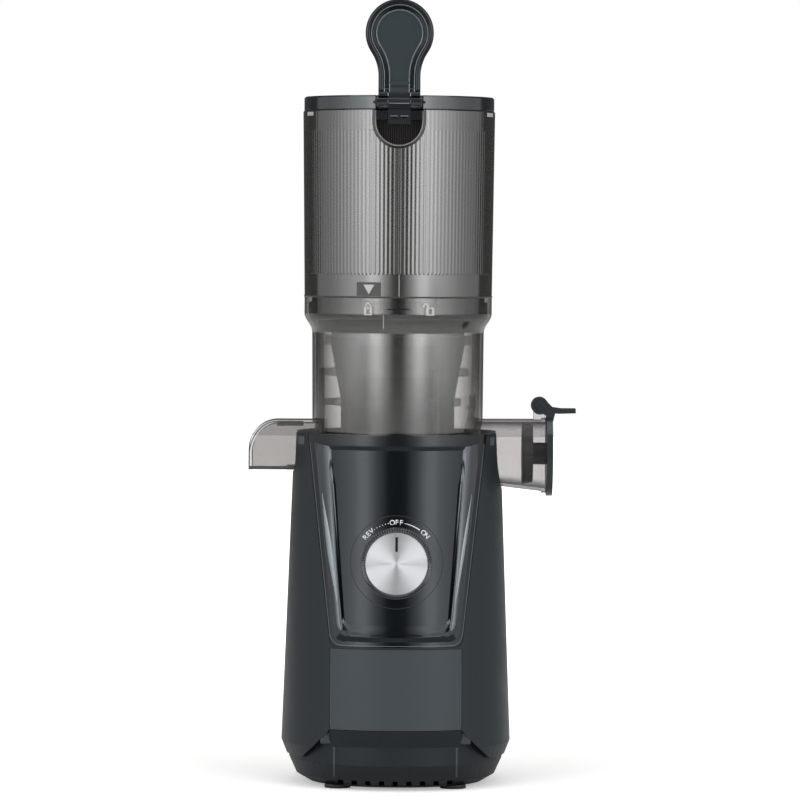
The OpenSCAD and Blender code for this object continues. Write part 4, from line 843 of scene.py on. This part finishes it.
# %% Crest, a painted highlight
crest_highlight_finish = small_finish("painted_ridge_crest_highlight", "#8e989d", 6.0, 0.003, 0.1, 0.25, IOR=1.52,
                            Specular_IOR_Level=0.6)
ridge_skin = skin_of("front_panel", dish_ridge)
CREST_TOP, CREST_RUN, CREST_STEPS = (51.6, 204), (11.2, 76), 16    # x and z, and how far both fall
crest = bmesh.new()
for side, wide in ((-1, 1.5), (1, 0.9)):
    lines = [[], [], []]
    for i in range(CREST_STEPS + 1):
        t = i / CREST_STEPS
        half = wide * (0.15 + 1.1 * math.sin(math.pi * t) ** 1.5)
        for line, shift in zip(lines, (-half, 0, half)):
            x = CREST_TOP[0] - CREST_RUN[0] * t + shift
            line.append(Vector((side * x * MM, 0, (CREST_TOP[1] - CREST_RUN[1] * t) * MM)))
    strip_into(crest, lines)
drape(crest, ridge_skin, 0.1)
smooth(keep(crest, "ridge_crest", "base", crest_highlight_finish, thick=0.08))

# %% [markdown]
# ## Round the knob
# A faint printed circle runs just outside the bezel, and the pointer's slot in the knob is painted
# black. The circle is two rings of points that are bridged, and the paint is a thin block.

# %% Helper for blocks
def block_into(bm, x, y, z, width, depth, height, soften=0.0):
    """A box centred on x, y and z in mm, with rounded edges if soften is given."""
    place = Matrix.Translation((x * MM, y * MM, z * MM))
    size = Matrix.Diagonal((width * MM, depth * MM, height * MM, 1))
    made = bmesh.ops.create_cube(bm, size=1, matrix=place @ size)["verts"]
    if soften:
        edges = list({edge for v in made for edge in v.link_edges})
        bmesh.ops.bevel(bm, geom=edges, offset=soften * MM, offset_type="OFFSET", segments=3,
                        profile=0.5, affect="EDGES", clamp_overlap=True, material=-1)


# %% Circle and pointer
faint_finish = small_finish("faint_satin_print", "#2b3236", 0.8, 0.004, 0.1, 0.5, IOR=1.5,
                            Specular_IOR_Level=0.3)
circle = bmesh.new()
for radius in (31.7, 32.1):
    bmesh.ops.create_circle(circle, segments=120, radius=radius * MM,
                            matrix=Matrix.Translation(KNOB) @ UPRIGHT)
bmesh.ops.bridge_loops(circle, edges=circle.edges[:])
drape(circle, panel_skin, 0.1)
keep(circle, "dial_circle", "base", faint_finish, thick=0.05)
pointer = bmesh.new()
block_into(pointer, 0.0, -90.45, knob_centre.z / MM + 13.2, 1.75, 0.5, 9.9)
keep(pointer, "pointer_paint", "knob", finishes["gloss_abs_black"])

# %% [markdown]
# ## The lever's paddle
# The paddle has a rounded rim, a bright bead, a groove, a second bead and a flat middle. Rim and
# groove are drawn black as painted shade, and the beads' pale colour is a painted highlight. All
# of them follow its outline at their own distance: up the neck, round a hollow corner, over the
# round head and down again.

# %% Lines on the paddle
HEAD_R, NECK, HOLLOW, PADDLE_LOW = 23.4, 14.4, 30.0, 479.9    # mm; HOLLOW is the corner's radius
lever_low, lever_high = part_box("latch_lever")
HEAD_Z = lever_high.z / MM - HEAD_R


def paddle_line(inset):
    """The paddle's outline, moved inwards by some mm, from the lower left to the lower right."""
    side = NECK + HOLLOW
    drop = math.sqrt((HEAD_R + HOLLOW) ** 2 - side ** 2)
    tilt = math.atan2(drop, side)
    neck_run = HEAD_Z - drop - PADDLE_LOW
    half = [Vector((-(NECK - inset), 0, PADDLE_LOW + neck_run * i / 6)) for i in range(6)]
    hollow = Vector((-side, 0, HEAD_Z - drop))
    for i in range(11):
        angle = tilt * i / 10
        half.append(hollow + (HOLLOW + inset) * Vector((math.cos(angle), 0, math.sin(angle))))
    head = Vector((0, 0, HEAD_Z))
    for i in range(1, 19):
        angle = math.pi + tilt - (math.pi / 2 + tilt) * i / 18
        half.append(head + (HEAD_R - inset) * Vector((math.cos(angle), 0, math.sin(angle))))
    return half + [Vector((-v.x, 0, v.z)) for v in reversed(half[:-1])]


# %% Bands of the paddle
# the beads' pale colour is a painted highlight, and rim and groove are drawn black as painted shade
bead_highlight_finish = small_finish("pale_painted_bead_highlight", "#7b8488", 1.0, 0.003, 0.1, 0.25, IOR=1.5,
                           Specular_IOR_Level=0.6)
lever_skin = skin_of("latch_lever")
# name, outer and inner inset mm, swell mm, lift mm, finish
BANDS = [
    ("paddle_rim", 0.25, 3.7, 0.45, 0.05, finishes["gloss_abs_black"]),
    ("paddle_bead", 3.7, 4.5, 0.35, 0.15, bead_highlight_finish),
    ("paddle_groove", 4.6, 7.2, 0.0, 0.10, finishes["piano_black_abs"]),
    ("paddle_inner_bead", 7.3, 8.0, 0.3, 0.15, bead_highlight_finish),
]
for name, outer, inner, swell, lift, finish in BANDS:
    band = bmesh.new()
    strip_into(band, blend_lines(paddle_line(outer), paddle_line(inner), 6, swell))
    drape(band, lever_skin, lift, to_edge=True)
    smooth(keep(band, name, "lever", finish, thick=0.1))
foot = bmesh.new()
for side in (-1, 1):
    block_into(foot, side * 11.1, lever_low.y / MM + 1.7, 479.1, 6.6, 3.2, 2.8)
keep(foot, "paddle_foot", "lever", finishes["lever"])

# %% [markdown]
# ## The latch below the paddle
# A round bar crosses the tongue, three narrow slots are cut into it, and two small wings of the lid
# stand beside it. The bar is a tube, and the rest are blocks as thin as a coat of paint or a wing.

# %% Helper for tubes
def tube_into(bm, points, radius_mm, sides=8):
    """A round bead along a line that runs mostly across the view."""
    rings = []
    turns = [2 * math.pi * k / sides for k in range(sides)]
    for i, point in enumerate(points):
        along = (points[min(i + 1, len(points) - 1)] - points[max(i - 1, 0)]).normalized()
        across = along.cross(Vector((0, 1, 0))).normalized()
        out = across.cross(along)
        spokes = [math.cos(a) * across + math.sin(a) * out for a in turns]
        rings.append([bm.verts.new(point + radius_mm * MM * spoke) for spoke in spokes])
    for a, b in zip(rings, rings[1:]):
        for k in range(sides):
            bm.faces.new((a[k], a[(k + 1) % sides], b[(k + 1) % sides], b[k]))
    bm.faces.new(rings[0])
    bm.faces.new(rings[-1])


# %% Bar, slots and wings
latch_y = lever_low.y / MM
bar = bmesh.new()
bar_line = [Vector((x * MM, lever_low.y + 1.0 * MM, 470.2 * MM)) for x in (-14.3, -7, 0, 7, 14.3)]
tube_into(bar, bar_line, 1.3, sides=16)
smooth(keep(bar, "latch_bar", "lever", finishes["gloss_abs_black"]))
# the slots are drawn as pale lines in the beads' painted-highlight finish
slots = bmesh.new()
for x in (-3.6, 3.6):
    block_into(slots, x, latch_y, 463.9, 5.2, 0.5, 0.55)
block_into(slots, 0, latch_y, 472.6, 14.0, 0.5, 0.5)
keep(slots, "latch_lines", "lever", bead_highlight_finish)
wings = bmesh.new()
for side in (-1, 1):
    block_into(wings, side * 12.0, latch_y + 3.2, 464.6, 7.6, 0.8, 6.4, 0.2)
keep(wings, "latch_wings", "lid", finishes["gloss_abs_hinge"])

# %% [markdown]
# ## The rim of the finger recess
# The recess in the hopper's front has a rounded rim: two short uprights and half a circle
# below, and its pale colour is a painted highlight. The tube follows that line on the hopper's own
# radius.

# %% Recess rim
FRONT_R = 67.0                            # the hopper's radius there
RIM_R, RIM_Z, RIM_TOP = 16.2, 459.9, (463.5, 467.6)
half_circle = [math.pi * i / 28 for i in range(29)]
arc = [(-RIM_R, RIM_TOP[1]), (-RIM_R, RIM_TOP[0])]
arc += [(-RIM_R * math.cos(a), RIM_Z - RIM_R * math.sin(a)) for a in half_circle]
arc += [(RIM_R, RIM_TOP[0]), (RIM_R, RIM_TOP[1])]
rim_line = [Vector((x * MM, -math.sqrt(FRONT_R ** 2 - x ** 2) * MM, z * MM)) for x, z in arc]
rim = bmesh.new()
tube_into(rim, rim_line, 0.5)
rim_finish = small_finish("pale_painted_rim_highlight", "#757371", 4.0, 0.003, 0.1, 0.25, IOR=1.54,
                          Specular_IOR_Level=0.6)
smooth(keep(rim, "recess_rim", "hopper", rim_finish))

# %% [markdown]
# ## Small lines of the clear mouldings
# Pale panels at two spots near the hopper's top are painted highlights, a dark ring is painted
# shade in the thin gap between bowl and hopper, and each moulding has a faint upright line where
# its mould parts, drawn pale as a painted highlight. They are small flat panels on the curved
# walls, and a ring that is spun from a thin outline.

# %% Painted highlights at the hopper's rim
glint_finish = small_finish("pale_painted_glint", "#b3b2b0", 2.0, 0.003, 0.1, 0.35, IOR=1.5,
                            Specular_IOR_Level=0.4)
rim_glints = bmesh.new()
for x in (-61.6, 63.0):
    panel_into(rim_glints, x, 466.1, 4.2, 2.6, cuts=4)
drape(rim_glints, hopper_skin, 0.1)
keep(rim_glints, "rim_highlights", "hopper", glint_finish, thick=0.1)

# %% Seam ring
def turned_into(bm, profile, steps):
    """Spins a closed outline of radii and heights in mm round the machine's axis."""
    corners = [bm.verts.new((r * MM, 0, z * MM)) for r, z in profile]
    outline = [bm.edges.new(ends) for ends in zip(corners, corners[1:] + corners[:1])]
    bmesh.ops.spin(bm, geom=outline, cent=(0, 0, 0), axis=(0, 0, 1), dvec=(0, 0, 0),
                   angle=2 * math.pi, steps=steps, use_merge=True, use_duplicate=False)


def ring_outline(inner, outer, low_z, high_z):
    """The outline of a flat-sided ring, for turned_into."""
    return ((inner, low_z), (outer, low_z), (outer, high_z), (inner, high_z))


RING_STEPS, SCREEN_STEPS = 180, 120
# the dark ring is painted shade in the thin gap between bowl and hopper, in the seals' silicone
# finish
seam = bmesh.new()
turned_into(seam, ring_outline(65.56, 65.85, 338.9, 340.1), RING_STEPS)
smooth(keep(seam, "seam_shade_ring", "bowl", finishes["dark_food_silicone"]))

# %% Parting lines of bowl and hopper
# name, body, skin, place x and z, width and height mm, thickness mm
PARTINGS = [
    ("gate_line", "bowl", collar_skin, (-10.0, 322.6, 0.7, 9.0), 0.1),
    ("hopper_gate_line", "hopper", hopper_skin, (0.6, 347.5, 0.45, 15.0), 0.08),
]
# each line is a pale strip in the glint finish, a painted highlight along the mould's parting line
for name, body, skin, place, thick in PARTINGS:
    gate = bmesh.new()
    panel_into(gate, *place)
    drape(gate, skin, 0.1)
    keep(gate, name, body, glint_finish, thick=thick)

# %% [markdown]
# ## Behind the bowl's wall
# A fine screen hangs in the brush cage, and small dark hooks hold the strainer's rim. Through the
# smoky wall they show as dark shapes without detail, so plain dark forms do for them: a thin cone
# that is spun from its outline and two blocks. A dark ring beside them is painted shade on the
# bowl's shoulder.

# %% Screen of the brush cage
dark_parts_and_shade_finish = small_finish("dark_moulded_parts_and_painted_shade", "#100f0f", 2.0, 0.01, 0.2, 0.5, IOR=1.5,
                             Specular_IOR_Level=0.1)
SCREEN = ((39.3, 215.4), (39.7, 215.4), (39.7, 267.2), (47.9, 311.7), (47.5, 311.7), (39.3, 267.2))
screen = bmesh.new()
turned_into(screen, SCREEN, SCREEN_STEPS)
keep(screen, "cage_screen", "brush", dark_parts_and_shade_finish)

# %% Hooks of the strainer, and a ring of painted shade
hooks = bmesh.new()
block_into(hooks, -51.5, 0, 318.6, 4.4, 5.0, 5.0, 0.8)
block_into(hooks, 53.4, 0, 319.5, 4.6, 5.0, 8.0, 0.8)
# the ring is painted shade that darkens the bowl's shoulder
turned_into(hooks, ring_outline(52.4, 55.8, 315.0, 322.6), RING_STEPS)
keep(hooks, "strainer_hooks_and_shade_ring", "bowl", dark_parts_and_shade_finish)

# %% [markdown]
# ## Edges of the chute and the spout's hinge
# A wall of clear plastic that is seen edge-on looks dark, and the chute's near edge is the longest
# such line. A thin dark tube follows it as painted shade: straight up, then a quarter of an
# ellipse. Two thin dark bars add the same painted shade along the chute's low and high edges. The
# stopper's pin ends in a flat round cap.

# %% Chute edges, drawn as painted shade
edge_shade_finish = small_finish("painted_edge_shade_copolyester", "#4d4b49", 3.0, 0.003, 0.1, 0.3, IOR=1.54,
                          Specular_IOR_Level=0.3)
chute_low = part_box("pulp_chute")[0]
end_x, front_y = chute_low.x / MM + 0.5, chute_low.y / MM + 0.5
LIP_FOOT, LIP_BEND, LIP_WIDE, LIP_HIGH = 220.5, 227.6, 19.2, 24.6
lip_line = [Vector((end_x * MM, front_y * MM, LIP_FOOT * MM))]
for i in range(13):
    a = math.pi - math.pi / 2 * i / 12
    x, z = end_x + LIP_WIDE + LIP_WIDE * math.cos(a), LIP_BEND + LIP_HIGH * math.sin(a)
    lip_line.append(Vector((x * MM, front_y * MM, z * MM)))
lips = bmesh.new()
tube_into(lips, lip_line, 0.35)
block_into(lips, end_x + 16.8, front_y, 219.9, 34.0, 0.8, 2.2)
block_into(lips, end_x + 28.6, front_y, 250.9, 18.4, 0.8, 3.4)
keep(lips, "chute_edge_shade", "bowl", edge_shade_finish)

# %% Hinge cap
pin_low, pin_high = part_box("stopper_pin")
pin_mid = (pin_low + pin_high) / 2
cap_place = Matrix.Translation((pin_mid.x, pin_low.y - 0.3 * MM, pin_mid.z))
cap = bmesh.new()
bmesh.ops.create_cone(cap, cap_ends=True, segments=32, radius1=3.4 * MM, radius2=3.1 * MM,
                      depth=0.8 * MM, matrix=cap_place @ UPRIGHT)
keep(cap, "hinge_cap", "bowl", finishes["gloss_abs_stopper"])

# %% [markdown]
# ## Edges of the base
# The plate and the foot have slightly lighter edges, which are painted highlights, the band
# between them ends in two small rounded caps, and the shell has painted highlights at its upper
# corners. Thin strips and panels lie on the solids, and the caps are softened blocks.

# %% Painted highlights on the front edges
# the node that the strip lies on, half the distance between its two strips mm, and its heights mm
EDGES = (("front_plate", 44.6, range(88, 45, -6)), ("bottom_cover", 42.2, range(30, 8, -3)))
rail = bmesh.new()
for side in (-1, 1):
    for skin_name, x, heights in EDGES:
        strip = bmesh.new()
        strip_into(strip, flat_rows([side * x - 0.6, side * x + 0.6], heights))
        drape(strip, skin_of(skin_name), 0.1)
        carrier = bpy.data.meshes.new("carrier")
        strip.to_mesh(carrier)
        strip.free()
        rail.from_mesh(carrier)
        bpy.data.meshes.remove(carrier)
edge_highlight_finish = small_finish("satin_painted_edge_highlight", "#394044", 0.8, 0.004, 0.1, 0.4, IOR=1.5,
                           Specular_IOR_Level=0.3)
keep(rail, "front_edge_highlights", "base", edge_highlight_finish, thick=0.08)

# %% Caps of the band, and painted highlights at the top corners of the base
caps = bmesh.new()
for side in (-1, 1):
    block_into(caps, side * 48.0, -65.3, 36.6, 7.6, 3.4, 9.0, 1.2)
keep(caps, "band_caps", "base", finishes["satin_abs_slate"])
# pale panels on the shell's upper corners are painted highlights
corners = bmesh.new()
for side in (-1, 1):
    panel_into(corners, side * 66.7, 239.8, 4.4, 5.6, cuts=3)
drape(corners, skin_of("housing_shell"), 0.12)
keep(corners, "corner_highlights", "base", pale_highlight_finish, thick=0.1)
